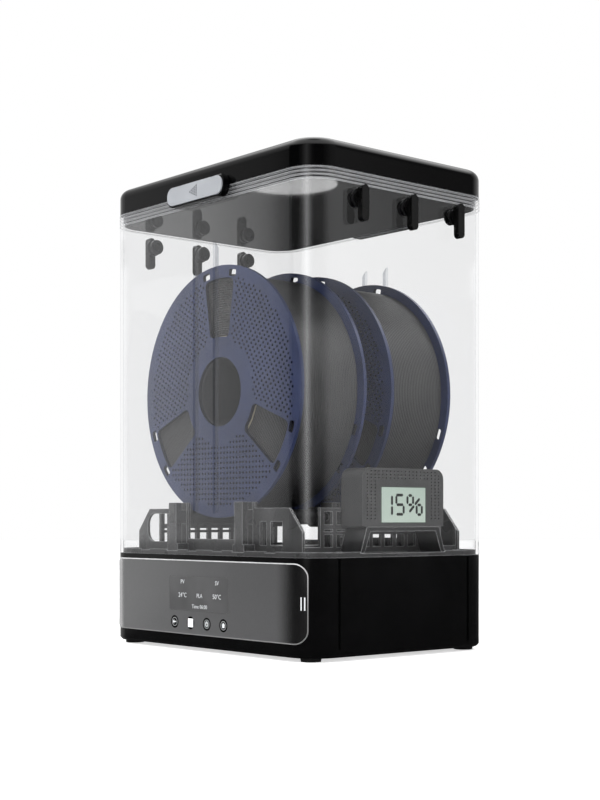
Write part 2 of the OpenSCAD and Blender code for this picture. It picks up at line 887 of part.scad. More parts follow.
// End wall with a D-shaped opening on the left and two square ones on the right
module end_wall(low, high) {
    panel = cradle_half_w - pillar_edge;
    low_edge = 5.5;
    opening_h = 18;
    translate([0, high, deck_top]) rotate([90, 0, 0]) linear_extrude(high - low)
        difference() {
            end_wall_outline();
            translate([-pillar_edge - 0.45 * panel, 7]) d_opening();
            for (part = [[0.11, 0.14], [0.34, 0.25]])
                translate([pillar_edge + part[0] * panel, low_edge])
                    square([part[1] * panel, opening_h]);
        }
}

module side_wall(side) {
    y_low = wall_front - cradle_wall;
    y_high = wall_rear + cradle_wall;
    count = floor((wall_rear - wall_front - 12) / window_pitch);
    first = spool_shift - (count - 1) / 2 * window_pitch;
    x_mid = side * (cradle_side - cradle_wall / 2);
    difference() {
        translate([x_mid - cradle_wall / 2, y_low, deck_top])
            cube([cradle_wall, y_high - y_low, cradle_h]);
        for (i = [0 : count - 1], band = window_bands)
            translate([x_mid - cradle_wall, first + i * window_pitch - window_w / 2,
                deck_top + band[0]])
                cube([2 * cradle_wall, window_w, band[1] - band[0]]);
    }
}

// Pillar that carries an axle
module pillar(x, y_low, y_high) {
    translate([x - pillar_w / 2, y_low, deck_top]) cube([pillar_w, y_high - y_low, pillar_h]);
}

module cradle() {
    color([0.2, 0.2, 0.21]) difference() {
        union() {
            end_wall(wall_front - cradle_wall, wall_front);
            end_wall(wall_rear, wall_rear + cradle_wall);
            side_wall(-1);
            side_wall(1);
            for (x = [-1, 1] * roller_span / 2) {
                pillar(x, -pillar_out, wall_front);
                pillar(x, wall_rear, pillar_out);
                pillar(x, spool_shift - mid_pillar_t / 2, spool_shift + mid_pillar_t / 2);
            }
            cradle_foot();
        }
        for (x = [-1, 1] * roller_span / 2)
            rod_y(axle_r + fixed_fit, x, roller_z, -pillar_out + 1.5, pillar_out - 1.5);
        for (x = [-1, 1], y = [-1, 1])
            translate([x * cradle_screw_x, y * cradle_screw_y + spool_shift, deck_top - 1])
                cylinder(r = screw_dia / 2 + fixed_fit, h = cradle_foot_t + 2);
    }
}

// Flat frame that the cradle's walls and pillars stand on
module cradle_foot() {
    y_low = wall_front - cradle_wall;
    y_high = wall_rear + cradle_wall;
    slot_in = 26.4;
    slot_w = 20;
    translate([0, 0, deck_top]) difference() {
        translate([-cradle_side, y_low, 0])
            cube([2 * cradle_side, y_high - y_low, cradle_foot_t]);
        for (half = [[wall_front + 14, spool_shift - 8], [spool_shift + 8, wall_rear - 14]])
            translate([-pillar_in, half[0], -1])
                cube([2 * pillar_in, half[1] - half[0], cradle_foot_t + 2]);
        for (x = [-1, 1])
            translate([x * (cradle_side - 22) - slot_w / 2, wall_front + slot_in, -1])
                cube([slot_w, wall_rear - wall_front - 2 * slot_in, cradle_foot_t + 2]);
    }
}

module axle(x) {
    color([0.7, 0.7, 0.72])
        rod_y(axle_r, x, roller_z, -pillar_out + 1.7, pillar_out - 1.7);
}

module axle_left() {
    axle(-roller_span / 2);
}

module axle_right() {
    axle(roller_span / 2);
}

// Roller with a wide tread under each flange and a slim middle
module roller(x, y_mid) {
    half = spool_w / 2 + roller_end;
    color([0.12, 0.12, 0.13]) difference() {
        union() {
            rod_y(roller_r, x, roller_z, y_mid - half, y_mid - half + tread_w);
            rod_y(roller_r, x, roller_z, y_mid + half - tread_w, y_mid + half);
            rod_y(roller_r - roller_waist, x, roller_z, y_mid - half + 1, y_mid + half - 1);
        }
        rod_y(axle_r + run_fit, x, roller_z, y_mid - half - 1, y_mid + half + 1);
    }
}

module roller_front_left() {
    roller(-roller_span / 2, front_spool_y);
}

module roller_front_right() {
    roller(roller_span / 2, front_spool_y);
}

module roller_rear_left() {
    roller(-roller_span / 2, rear_spool_y);
}

module roller_rear_right() {
    roller(roller_span / 2, rear_spool_y);
}

// ---- Spools ----

// Centre of a window's corner arc at a distance from the spool's axis
function window_corner(rho) =
    let (lean = sqrt(1 + pow(window_taper, 2)),
        start = window_half_w - window_taper * window_in_r - window_round * lean,
        along = (sqrt(pow(lean * rho, 2) - pow(start, 2)) - start * window_taper)
            / pow(lean, 2))
    [start + window_taper * along, along];

// Part of the flange's window between two radii, within a half width at a height
module window_arc(r_low, r_high, half_w, height) {
    reach = 2 * spool_r / height;
    intersection() {
        difference() {
            circle(r_high);
            circle(r_low);
        }
        polygon([[0, 0], reach * [half_w, height], reach * [-half_w, height]]);
    }
}

// Flange window: a wedge between two radii with rounded corners
module flange_window() {
    low = window_corner(window_in_r + window_round);
    high = window_corner(window_out_r - window_round);
    out = window_round * [1, -window_taper] / norm([1, window_taper]);
    middle = (window_in_r + window_out_r) / 2;
    for (side = [0, 1]) mirror([side, 0]) {
        for (corner = [low, high]) translate(corner) circle(window_round);
        polygon([[-1, low[1]], low, low + out, high + out, high, [-1, high[1]]]);
    }
    window_arc(window_in_r, middle, low[0] - window_meet, low[1]);
    window_arc(middle - 1, window_out_r, high[0] - window_meet, high[1]);
}

module flange(y_low) {
    translate([0, y_low + flange_t, 0]) rotate([90, 0, 0]) linear_extrude(flange_t)
        difference() {
            circle(spool_r);
            circle(spool_bore / 2);
            for (turn = [0, 120, 240]) rotate(turn) {
                flange_window();
                for (tilt = [-slot_tilt, slot_tilt]) rotate(tilt) translate([0, slot_r])
                    round_rect(slot_l, slot_w, 1.5);
            }
        }
}

module spool(y_mid) {
    y_low = -spool_w / 2;
    color([0.2, 0.23, 0.42]) translate([0, y_mid, spool_z]) {
        flange(y_low);
        flange(-y_low - flange_t);
        rotate([90, 0, 0]) translate([0, 0, y_low + flange_t - eps])
            linear_extrude(spool_w - 2 * flange_t + 2 * eps) {
                difference() {
                    circle(drum_dia / 2);
                    circle(drum_dia / 2 - hub_wall);
                }
                difference() {
                    circle(spool_bore / 2 + hub_wall);
                    circle(spool_bore / 2);
                }
                for (turn = [60, 180, 300]) rotate(turn)
                    translate([-hub_wall / 2, spool_bore / 2 + 1])
                        square([hub_wall, drum_dia / 2 - spool_bore / 2 - 2]);
            }
    }
}

module spool_front() {
    spool(front_spool_y);
}

module spool_rear() {
    spool(rear_spool_y);
}

module filament(y_mid) {
    half = spool_w / 2 - flange_t - 0.1;
    color([0.16, 0.16, 0.17]) translate([0, y_mid + half, spool_z]) rotate([90, 0, 0])
        linear_extrude(2 * half) difference() {
            circle(wound_r);
            circle(drum_dia / 2 + fixed_fit);
        }
}

module filament_front() {
    filament(front_spool_y);
}

module filament_rear() {
    filament(rear_spool_y);
}

// ---- Cover and ports ----

// Upright fin on the inside of the front wall, its top sloped
module fin(x) {
    y_wall = -box_d / 2 + cover_wall;
    translate([x - fin_t / 2, y_wall, base_top]) rotate([90, 0, 90]) linear_extrude(fin_t)
        polygon([[-1, fin_low], [fin_depth, fin_low + 3], [fin_depth, fin_high - 7],
            [-1, fin_high]]);
}

module cover() {
    color([0.85, 0.88, 0.9, 0.25]) difference() {
        union() {
            box_ring(0, cover_wall, base_top, cover_top);
            box_ring(-rib_proud, cover_wall / 2, base_top, base_top + cover_foot_h);
            for (i = [0 : rib_count - 1])
                box_ring(-rib_proud, cover_wall / 2, cover_top - 0.8 - rib_h - i * rib_pitch,
                    cover_top - 0.8 - i * rib_pitch);
            for (x = [-1, 1], turn = [0, 180]) rotate([0, 0, turn]) fin(x * fin_x);
        }
        for (side = [-1, 1], i = [-1 : 1])
            rod_x(port_dia / 2, port_shift + i * port_pitch, port_z,
                side * box_w / 2 - 4, side * box_w / 2 + 4);
    }
}

// Bushing in one port of the right side: flange outside, nut inside
module bushing() {
    wall_in = box_w / 2 - cover_wall;
    difference() {
        union() {
            rod_x(port_dia / 2 - fixed_fit, 0, 0, wall_in - bush_nut_t,
                box_w / 2 + bush_flange_t);
            rod_x(port_dia / 2 + bush_flange_w, 0, 0, box_w / 2, box_w / 2 + bush_flange_t);
            rod_x(port_dia / 2 + bush_nut_w, 0, 0, wall_in - bush_nut_t, wall_in);
        }
        rod_x(plug_stem_dia / 2 + run_fit, 0, 0, wall_in - bush_nut_t - 1,
            box_w / 2 + bush_flange_t + 1);
    }
}

module port_bushings() {
    color([0.05, 0.05, 0.055]) for (turn = [0, 180], i = [-1 : 1])
        translate([0, port_shift + i * port_pitch, port_z]) rotate([0, 0, turn]) bushing();
}

// Plug with its stem, sealing flange and pull tab, drawn for the right side
module plug(side, i) {
    flange_x = box_w / 2 + bush_flange_t + seat_gap;
    tab_x = flange_x + plug_flange_t;
    color([0.03, 0.03, 0.032]) translate([0, port_shift + i * port_pitch, port_z])
        rotate([0, 0, side > 0 ? 0 : 180]) union() {
            rod_x(plug_stem_dia / 2, 0, 0, box_w / 2 - cover_wall - bush_nut_t - 0.5,
                tab_x);
            rod_x(port_dia / 2 + plug_flange_w, 0, 0, flange_x, tab_x);
            rod_x(plug_tab_w / 2, 0, plug_tab_high - plug_tab_w / 2, tab_x - eps,
                tab_x + plug_tab_t);
            rod_x(plug_tab_w / 2, 0, -plug_tab_low + plug_tab_w / 2, tab_x - eps,
                tab_x + plug_tab_t);
            translate([tab_x - eps, -plug_tab_w / 2, -plug_tab_low + plug_tab_w / 2])
                cube([plug_tab_t + eps, plug_tab_w,
                    plug_tab_low + plug_tab_high - plug_tab_w]);
        }
}

module plug_left_front() {
    plug(-1, -1);
}

module plug_left_middle() {
    plug(-1, 0);
}

module plug_left_rear() {
    plug(-1, 1);
}

module plug_right_front() {
    plug(1, -1);
}

module plug_right_middle() {
    plug(1, 0);
}

module plug_right_rear() {
    plug(1, 1);
}

// ---- Lid and latches ----

// Two ears that carry the front latch's pin
module latch_ears() {
    for (x = [-1, 1]) difference() {
        union() {
            rod_x(ear_r, latch_pin_y, latch_pin_z, x * ear_x - ear_w / 2, x * ear_x + ear_w / 2);
            translate([x * ear_x - ear_w / 2, latch_pin_y, latch_pin_z - ear_r])
                cube([ear_w, -box_d / 2 + 1 - latch_pin_y, 2 * ear_r]);
        }
        rod_x(latch_pin_dia / 2 + fixed_fit, latch_pin_y, latch_pin_z,
            x * ear_x - ear_w, x * ear_x + ear_w);
    }
}

module lid() {
    color([0.05, 0.05, 0.055]) union() {
        difference() {
            translate([0, 0, lid_z]) box_block(lid_h, 0, lid_edge_r);
            box_prism(lid_wall, lid_z - 1, lid_top - lid_wall - lid_edge_r / 2);
            box_prism(lid_wall + lid_edge_r / 2, lid_z, lid_top - lid_wall);
        }
        latch_ears();
        rotate([0, 0, 180]) latch_ears();
    }
}

module lid_liner() {
    skirt_top = lid_top - lid_wall - lid_edge_r / 2;
    color([0.3, 0.3, 0.31]) difference() {
        box_prism(liner_in, lid_z - liner_drop, skirt_top);
        box_prism(liner_in + liner_wall, lid_z - liner_drop + liner_wall, skirt_top + 1);
        box_ring(liner_in - 1, liner_in + 1, lid_z - 6, lid_z - 2);
    }
}

module lid_gasket() {
    color([0.1, 0.1, 0.1]) union() {
        box_ring(liner_in - 0.4, liner_in + 1, lid_z - 6, lid_z - 2);
        for (z = [-5.4, -3.4]) box_ring(gasket_in, liner_in, lid_z + z, lid_z + z + 0.8);
    }
}

module latch_pin() {
    rod_x(latch_pin_dia / 2, latch_pin_y, latch_pin_z, -latch_w / 2 + pin_in,
        latch_w / 2 - pin_in);
}

module latch_pins() {
    color([0.7, 0.7, 0.72]) {
        latch_pin();
        rotate([0, 0, 180]) latch_pin();
    }
}

module latch_body() {
    front = latch_back - latch_t;
    slot_low = latch_pin_z - ear_r - 0.5;
    difference() {
        intersection() {
            front_plate(0, latch_low + latch_h / 2, latch_w, latch_h, latch_h / 2 - 0.5,
                front, latch_back);
            union() {
                rod_x(latch_top_r, latch_pin_y, latch_pin_z, -latch_w, latch_w);
                translate([-latch_w, front, latch_low - 1])
                    cube([2 * latch_w, latch_t, latch_pin_z - latch_low + 1]);
            }
        }
        for (x = [-1, 1]) translate([x * ear_x - ear_w / 2 - seat_gap, front + 0.5, slot_low])
            cube([ear_w + 2 * seat_gap, latch_t, latch_h]);
        rod_x(latch_pin_dia / 2 + run_fit, latch_pin_y, latch_pin_z,
            -latch_w / 2 + pin_in - 0.5, latch_w / 2 - pin_in + 0.5);
    }
}

module latch_face() {
    front = latch_back - latch_t;
    h = latch_h - 3.4;
    front_plate(0, latch_low + latch_h / 2 - 0.2, latch_w - 3, h, h / 2 - 0.4,
        front - latch_face_t, front);
}

module latch_front() {
    color([0.04, 0.04, 0.045]) latch_body();
}

module latch_front_face() {
    color([0.66, 0.69, 0.74, 0.8]) latch_face();
}

module latch_rear() {
    color([0.04, 0.04, 0.045]) rotate([0, 0, 180]) latch_body();
}

module latch_rear_face() {
    color([0.66, 0.69, 0.74, 0.8]) rotate([0, 0, 180]) latch_face();
}

// ---- Hygrometer ----

// Rounded plate that faces +X, given by its centre, length, height and depth range
module side_plate(y, z, w, h, r, x_low, x_high) {
    translate([x_low, y, z]) rotate([90, 0, 90]) linear_extrude(x_high - x_low)
        round_rect(w, h, r);
}

module hygrometer_stand() {
    top_half = hygro_foot_half - stand_spread;
    color([0.14, 0.14, 0.15])
        translate([hygro_out - hygro_depth, hygro_y, deck_top]) rotate([90, 0, 90])
            linear_extrude(hygro_depth) difference() {
                polygon([[-hygro_foot_half, 0], [-top_half, stand_h], [top_half, stand_h],
                    [hygro_foot_half, 0]]);
                polygon([[-hygro_foot_half + stand_t, -1],
                    [-top_half + stand_t, stand_h - stand_t],
                    [top_half - stand_t, stand_h - stand_t],
                    [hygro_foot_half - stand_t, -1]]);
            }
}

// Rows of small breathing holes beside and above the screen
module case_dots() {
    for (i = [0 : dot_cols - 1], j = [0 : dot_rows - 1]) {
        edge = min(i, dot_cols - 1 - i);
        down = dot_rows - 1 - j;
        if ((edge < dot_border || down < dot_border) && edge + down > 0)
            rod_x(dot_r, hygro_y + (i - (dot_cols - 1) / 2) * dot_pitch_y,
                dot_low + j * dot_pitch_z, hygro_out - hygro_wall - 1, hygro_out + 1);
    }
}

module hygrometer_case() {
    x_low = hygro_out - hygro_depth;
    color([0.15, 0.15, 0.16]) difference() {
        union() {
            side_plate(hygro_y, hygro_mid, hygro_len, hygro_h, hygro_r, x_low, hygro_out);
            translate([x_low, hygro_y - hygro_len / 2, hygro_z])
                cube([hygro_depth, hygro_len, hygro_h / 2]);
        }
        side_plate(hygro_y, hygro_mid, hygro_len - 2 * hygro_wall,
            hygro_h - 2 * hygro_wall, hygro_r - hygro_wall,
            x_low + hygro_wall, hygro_out - hygro_wall);
        side_plate(hygro_y, screen_z, screen_w + 2 * slip, screen_h + 2 * slip, 1,
            hygro_out - hygro_wall - 1, hygro_out + 1);
        for (i = [0 : 9])
            translate([x_low - 1, hygro_y + (i - 4.5) * 8 - 2, hygro_mid - 12])
                cube([hygro_wall + 2, 4, 24]);
        case_dots();
    }
}

module hygrometer_body() {
    color([0.1, 0.1, 0.1]) difference() {
        side_plate(hygro_y, screen_z + 1, screen_w + 2 * works_edge, screen_h + 1, 1,
            hygro_out - hygro_wall - works_t, hygro_out - hygro_wall);
        rod_x(cell_r + 0.1, hygro_y, screen_z, hygro_out - hygro_wall - works_t - 1,
            hygro_out - hygro_wall - works_t + 3);
    }
}

module hygrometer_screen() {
    color([0.72, 0.82, 0.74])
        side_plate(hygro_y, screen_z, screen_w, screen_h, 1 - slip,
            hygro_out - hygro_wall, hygro_out);
}

module coin_cell() {
    low = hygro_out - hygro_wall - works_t - 0.2;
    color([0.75, 0.75, 0.75]) rod_x(cell_r, hygro_y, screen_z, low, low + cell_t);
}

// ---- Assembly ----

base_shell();
base_floor();
rubber_feet();
floor_screws();
side_panel_left();
side_panel_right();
front_fascia();
display_window();
display_module();
control_board();
button_back();
button_stop();
button_power();
button_home();
air_duct();
fan_frame();
fan_rotor();
heater();
power_board();
power_inlet();
deck();
deck_screws();
cradle();
cradle_screws();
axle_left();
axle_right();
roller_front_left();
roller_front_right();
roller_rear_left();
roller_rear_right();
spool_front();
filament_front();
spool_rear();
filament_rear();
cover();
port_bushings();
plug_left_front();
plug_left_middle();
plug_left_rear();
plug_right_front();
plug_right_middle();
plug_right_rear();
lid();
lid_liner();
lid_gasket();
latch_pins();
latch_front();
latch_front_face();
latch_rear();
latch_rear_face();
hygrometer_stand();
hygrometer_case();
hygrometer_body();
hygrometer_screen();
coin_cell();
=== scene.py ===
"""Looks for the filament dryer box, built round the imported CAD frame. Metres, row frame."""

import math

import bpy
from mathutils import Matrix, Vector


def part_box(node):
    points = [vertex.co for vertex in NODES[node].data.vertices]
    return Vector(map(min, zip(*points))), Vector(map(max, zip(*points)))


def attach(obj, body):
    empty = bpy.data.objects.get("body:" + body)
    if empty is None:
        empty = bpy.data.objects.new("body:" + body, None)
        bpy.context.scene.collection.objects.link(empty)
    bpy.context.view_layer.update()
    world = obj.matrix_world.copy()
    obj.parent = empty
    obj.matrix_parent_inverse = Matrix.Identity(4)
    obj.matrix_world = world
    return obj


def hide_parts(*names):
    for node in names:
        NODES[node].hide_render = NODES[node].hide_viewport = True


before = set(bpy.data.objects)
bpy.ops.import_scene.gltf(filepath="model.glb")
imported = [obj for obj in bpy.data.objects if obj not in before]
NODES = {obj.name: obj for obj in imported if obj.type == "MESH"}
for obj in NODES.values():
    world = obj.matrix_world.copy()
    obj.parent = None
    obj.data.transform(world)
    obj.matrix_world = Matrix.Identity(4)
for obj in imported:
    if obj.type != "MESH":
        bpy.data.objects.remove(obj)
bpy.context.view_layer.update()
SCENE = bpy.context.scene
MM = 0.001


# ---- Places, all from the frame ----

def mid(node):
    low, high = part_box(node)
    return (low + high) / 2


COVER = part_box("cover")
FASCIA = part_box("front_fascia")
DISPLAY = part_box("display_window")
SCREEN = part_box("hygrometer_screen")
BOX_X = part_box("base_shell")[1].x
BOX_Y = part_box("base_shell")[1].y
CORNER_R = 24 * MM
FIN_X, FIN_T = 13 * MM, 1.8 * MM  # the cover's upright fins
WALL_IN = BOX_Y - 2.6 * MM  # inside of the cover's front and rear walls
# the ribs round the cover's top carry painted highlights, a frosted white band on each
RIB_PITCH, RIB_COUNT = 2.7 * MM, 4  # ribs round the cover's top
RIBS_LOW = COVER[1].z - 10.1 * MM
# the control panel's painted light and shade: paler towards its left, darkening over the span at
# its right end
PANEL_HALF, PANEL_END_SHADE = 0.125, (0.090, 0.114)  # where the panel's tone changes along X
MARK_T = 0.06 * MM  # thickness of printed marks


# ---- Node helpers ----

def new_material(name):
    """An empty node material: (material, nodes, link function)."""
    mat = bpy.data.materials.new(name)
    mat.use_nodes = True
    tree = mat.node_tree
    tree.nodes.clear()
    return mat, tree.nodes, tree.links.new


def object_coords(nodes):
    return nodes.new("ShaderNodeTexCoord").outputs["Object"]


def split_xyz(nodes, link, source):
    """The x, y and z outputs of a vector."""
    node = nodes.new("ShaderNodeSeparateXYZ")
    link(source, node.inputs[0])
    return node.outputs


def layer_facing(nodes):
    """0 where a surface faces the eye and 1 where it is seen edge on."""
    node = nodes.new("ShaderNodeLayerWeight")
    node.inputs["Blend"].default_value = 0.5
    return node.outputs["Facing"]


def value_at(nodes, link, source, low, high, to_low, to_high, smooth=False):
    """Map Range from source to new limits; returns its output socket."""
    node = nodes.new("ShaderNodeMapRange")
    node.interpolation_type = "SMOOTHSTEP" if smooth else "LINEAR"
    for i, v in enumerate((low, high, to_low, to_high), start=1):
        node.inputs[i].default_value = v
    link(source, node.inputs[0])
    return node.outputs[0]


def math_node(nodes, link, kind, a, b=None):
    node = nodes.new("ShaderNodeMath")
    node.operation = kind
    for i, v in enumerate((a, b)):
        if v is None:
            continue
        if isinstance(v, (int, float)):
            node.inputs[i].default_value = v
        else:
            link(v, node.inputs[i])
    return node.outputs[0]


def mix_colour(nodes, link, factor, a, b):
    node = nodes.new("ShaderNodeMix")
    node.data_type = "RGBA"
    for socket, v in zip((node.inputs[0], node.inputs[6], node.inputs[7]), (factor, a, b)):
        if isinstance(v, (int, float)):
            socket.default_value = v
        elif isinstance(v, (tuple, list)):
            socket.default_value = (*v, 1.0) if len(v) == 3 else v
        else:
            link(v, socket)
    return node.outputs[2]


def noise(nodes, link, coords, scale, detail=3.0, rough=0.55):
    node = nodes.new("ShaderNodeTexNoise")
    node.inputs["Scale"].default_value = scale
    node.inputs["Detail"].default_value = detail
    node.inputs["Roughness"].default_value = rough
    link(coords, node.inputs["Vector"])
    return node.outputs["Fac"]


def bump(nodes, link, height, strength, distance):
    node = nodes.new("ShaderNodeBump")
    node.inputs["Strength"].default_value = strength
    node.inputs["Distance"].default_value = distance
    link(height, node.inputs["Height"])
    return node.outputs["Normal"]


def painted_edge_highlight(nodes, link, reach):
    """Mask for a painted highlight: 1 along a solid's sharp edges and 0 elsewhere."""
    rounded = nodes.new("ShaderNodeBevel")
    rounded.samples = 4
    rounded.inputs["Radius"].default_value = reach
    true = nodes.new("ShaderNodeNewGeometry").outputs["Normal"]
    agree = nodes.new("ShaderNodeVectorMath")
    agree.operation = "DOT_PRODUCT"
    link(rounded.outputs[0], agree.inputs[0])
    link(true, agree.inputs[1])
    return value_at(nodes, link, agree.outputs["Value"], 0.99, 0.82, 0.0, 1.0)


def principled(nodes, link, colour, rough, metallic=0.0):
    """Principled shader with a linked colour and a linked or plain roughness."""
    shader = nodes.new("ShaderNodeBsdfPrincipled")
    link(colour, shader.inputs["Base Color"])
    if isinstance(rough, float):
        shader.inputs["Roughness"].default_value = rough
    else:
        link(rough, shader.inputs["Roughness"])
    shader.inputs["Metallic"].default_value = metallic
    return shader


def mix_shader(nodes, link, factor, a, b):
    node = nodes.new("ShaderNodeMixShader")
    for socket, source in zip(node.inputs, (factor, a.outputs[0], b.outputs[0])):
        link(source, socket)
    return node


def finished(mat, shader):
    """The material, with this shader as its surface."""
    tree = mat.node_tree
    tree.links.new(shader.outputs[0], tree.nodes.new("ShaderNodeOutputMaterial").inputs[0])
    return mat


def plastic(name, colour, rough, spread=0.12, grain_bump=0.08, mottle=35, rough_spread=0.06,
            coat=0.0, grime=0.0, shine=0.5, edge=None):
    """Moulded plastic, rubber or metal: a little mottling, a moulded grain, gloss that varies,
    and, where edge gives its colour, a painted highlight along sharp edges."""
    mat, nodes, link = new_material(name)
    coords = object_coords(nodes)
    broad = noise(nodes, link, coords, mottle, 2.0)
    dark = tuple(c * (1 - spread) for c in colour)
    pale = tuple(min(1.0, c * (1 + spread)) for c in colour)
    tone = mix_colour(nodes, link, value_at(nodes, link, broad, 0.35, 0.65, 0, 1), dark, pale)
    if grime:
        dust = noise(nodes, link, coords, 160, 6.0, 0.7)
        tone = mix_colour(nodes, link, value_at(nodes, link, dust, 0.55, 0.8, 0, grime), tone,
                          (0.45, 0.45, 0.44))
    if edge:
        # painted highlight: sharp edges lighten towards the edge colour
        edge_highlight = math_node(nodes, link, "MULTIPLY", painted_edge_highlight(nodes, link, 0.9 * MM), 0.85)
        tone = mix_colour(nodes, link, edge_highlight, tone, edge)
    half = rough_spread / 2
    shader = principled(nodes, link, tone,
                        value_at(nodes, link, broad, 0.3, 0.7, rough - half, rough + half))
    shader.inputs["Specular IOR Level"].default_value = shine
    if coat:
        shader.inputs["Coat Weight"].default_value = coat
        shader.inputs["Coat Roughness"].default_value = 0.05
    if grain_bump:
        grain = noise(nodes, link, coords, 900, 3.0, 0.6)
        link(bump(nodes, link, grain, grain_bump, 0.0002), shader.inputs["Normal"])
    return finished(mat, shader)


def clear():
    """The cover's clear plastic: shinier edge on, greyer on the front wall, in the fins and at
    its outline, with painted highlights along the ribs round its top, a frosted white band on each."""
    mat, nodes, link = new_material("cover_clear")

    def both(a, b):
        return math_node(nodes, link, "MULTIPLY", a, b)

    def below(a, limit):
        return math_node(nodes, link, "LESS_THAN", a, limit)

    def size(a):
        return math_node(nodes, link, "ABSOLUTE", a)

    coords = object_coords(nodes)
    facing = layer_facing(nodes)
    edge = math_node(nodes, link, "POWER", facing, 5.0)
    outline = value_at(nodes, link, facing, 0.80, 0.97, 0.0, 1.0)
    smear = noise(nodes, link, coords, 14, 3.0)
    x, y, z = split_xyz(nodes, link, coords)
    off_fin = math_node(nodes, link, "SUBTRACT", size(x), FIN_X)
    fin = both(below(size(off_fin), FIN_T), below(size(y), WALL_IN))
    front = below(y, -WALL_IN)
    tint = mix_colour(nodes, link, front, (0.990, 0.991, 0.992), (0.955, 0.956, 0.958))
    tint = mix_colour(nodes, link, fin, tint, (0.80, 0.81, 0.83))
    tint = mix_colour(nodes, link, outline, tint, (0.66, 0.67, 0.68))
    through = nodes.new("ShaderNodeBsdfTransparent")
    link(tint, through.inputs["Color"])
    shine = principled(
        nodes, link, mix_colour(nodes, link, smear, (0.95, 0.96, 0.98), (1.0, 1.0, 1.0)),
        value_at(nodes, link, smear, 0.3, 0.7, 0.02, 0.06), metallic=1.0)
    weight = value_at(nodes, link, edge, 0.0, 1.0, 0.042, 0.85)
    weight = math_node(nodes, link, "ADD", weight, both(front, 0.014))
    clean = mix_shader(nodes, link, weight, through, shine)
    # painted highlight along each rib's top: a frosted white band
    rib_highlight = principled(
        nodes, link, mix_colour(nodes, link, smear, (0.62, 0.63, 0.65), (0.80, 0.81, 0.83)), 0.35)
    turns = math_node(nodes, link, "DIVIDE",
                      math_node(nodes, link, "SUBTRACT", z, RIBS_LOW), RIB_PITCH)
    along = math_node(nodes, link, "FRACT", turns)
    among = both(below(turns, RIB_COUNT),
                 math_node(nodes, link, "GREATER_THAN", turns, 0.0))
    line = value_at(nodes, link, size(math_node(nodes, link, "SUBTRACT", along, 0.36)),
                    0.03, 0.17, 0.46, 0.03)
    return finished(mat, mix_shader(nodes, link, both(among, line), clean, rib_highlight))


def glow(name, colour, strength):
    """Ink or lit marking: its colour with a faint mottle, and a little light of its own."""
    mat, nodes, link = new_material(name)
    grain = noise(nodes, link, object_coords(nodes), 2500, 2.0)
    tone = mix_colour(nodes, link, grain, tuple(c * (1 - 0.05) for c in colour), colour)
    shader = principled(nodes, link, tone, 0.4)
    if strength:
        link(tone, shader.inputs["Emission Color"])
        shader.inputs["Emission Strength"].default_value = strength
    return finished(mat, shader)


def stretched(nodes, link, coords, scale, detail, rough=0.55):
    """Noise drawn out along the axes with a low scale."""
    node = nodes.new("ShaderNodeMapping")
    node.inputs["Scale"].default_value = scale
    link(coords, node.inputs["Vector"])
    return noise(nodes, link, node.outputs[0], 1.0, detail, rough)


def brushed(name, colour, rough, axis_scale):
    """Turned or drawn metal, its fine lines stretched along one axis."""
    mat, nodes, link = new_material(name)
    lines = stretched(nodes, link, object_coords(nodes), axis_scale, 4.0, 0.65)
    shader = principled(
        nodes, link, mix_colour(nodes, link, lines, tuple(c * 0.8 for c in colour), colour),
        value_at(nodes, link, lines, 0.2, 0.8, rough * 0.7, rough * 1.3), metallic=1.0)
    link(bump(nodes, link, lines, 0.15, 0.0001), shader.inputs["Normal"])
    return finished(mat, shader)


def fascia_material():
    """Smoked glossy panel with painted light and shade: paler to its left and below, painted
    shade making it black round its right end, and mirror-like where it is seen edge on."""
    mat, nodes, link = new_material("fascia_smoke")
    coords = object_coords(nodes)
    x, _, z = split_xyz(nodes, link, coords)
    # painted light and shade: paler to the left and below, painted shade round the right end
    painted_side_light = value_at(nodes, link, x, -PANEL_HALF, PANEL_HALF, 0, 1, smooth=True)
    painted_end_shade = value_at(nodes, link, x, *PANEL_END_SHADE, 1.0, 0.08, smooth=True)
    painted_low_light = value_at(nodes, link, z, FASCIA[0].z, FASCIA[1].z, 1.22, 0.98)
    tone = mix_colour(nodes, link, painted_side_light, (0.112, 0.112, 0.114), (0.082, 0.082, 0.084))
    flecks = value_at(nodes, link, noise(nodes, link, coords, 700, 4.0), 0.4, 0.7, 0.975, 1.02)
    level = math_node(nodes, link, "MULTIPLY", painted_end_shade, painted_low_light)
    shaded = nodes.new("ShaderNodeVectorMath")
    shaded.operation = "SCALE"
    link(tone, shaded.inputs[0])
    link(math_node(nodes, link, "MULTIPLY", flecks, level), shaded.inputs["Scale"])
    shader = principled(nodes, link, shaded.outputs[0],
                        value_at(nodes, link, noise(nodes, link, coords, 30), 0.3, 0.7, 0.12, 0.2))
    shader.inputs["Coat Weight"].default_value = 0.6
    shader.inputs["Coat Roughness"].default_value = 0.03
    mirror = principled(
        nodes, link, mix_colour(nodes, link, flecks, (0.86, 0.86, 0.87), (0.92, 0.92, 0.93)),
        0.12, metallic=1.0)
    edge_on = value_at(nodes, link, layer_facing(nodes), 0.50, 0.64, 0.0, 0.9)
    return finished(mat, mix_shader(nodes, link, edge_on, shader, mirror))


def filament_material():
    """Charcoal filament: satin strands, each turn a touch different."""
    mat, nodes, link = new_material("filament_strand")
    coords = object_coords(nodes)
    strands = stretched(nodes, link, coords, (30, 430, 30), 2.0)
    patch = noise(nodes, link, coords, 45, 3.0)
    tone = mix_colour(nodes, link, strands, (0.026, 0.026, 0.027), (0.088, 0.088, 0.089))
    tone = mix_colour(nodes, link, value_at(nodes, link, patch, 0.35, 0.65, 0, 0.35), tone,
                      (0.075, 0.075, 0.074))
    return finished(mat, principled(nodes, link, tone,
                                    value_at(nodes, link, strands, 0.3, 0.7, 0.36, 0.5)))


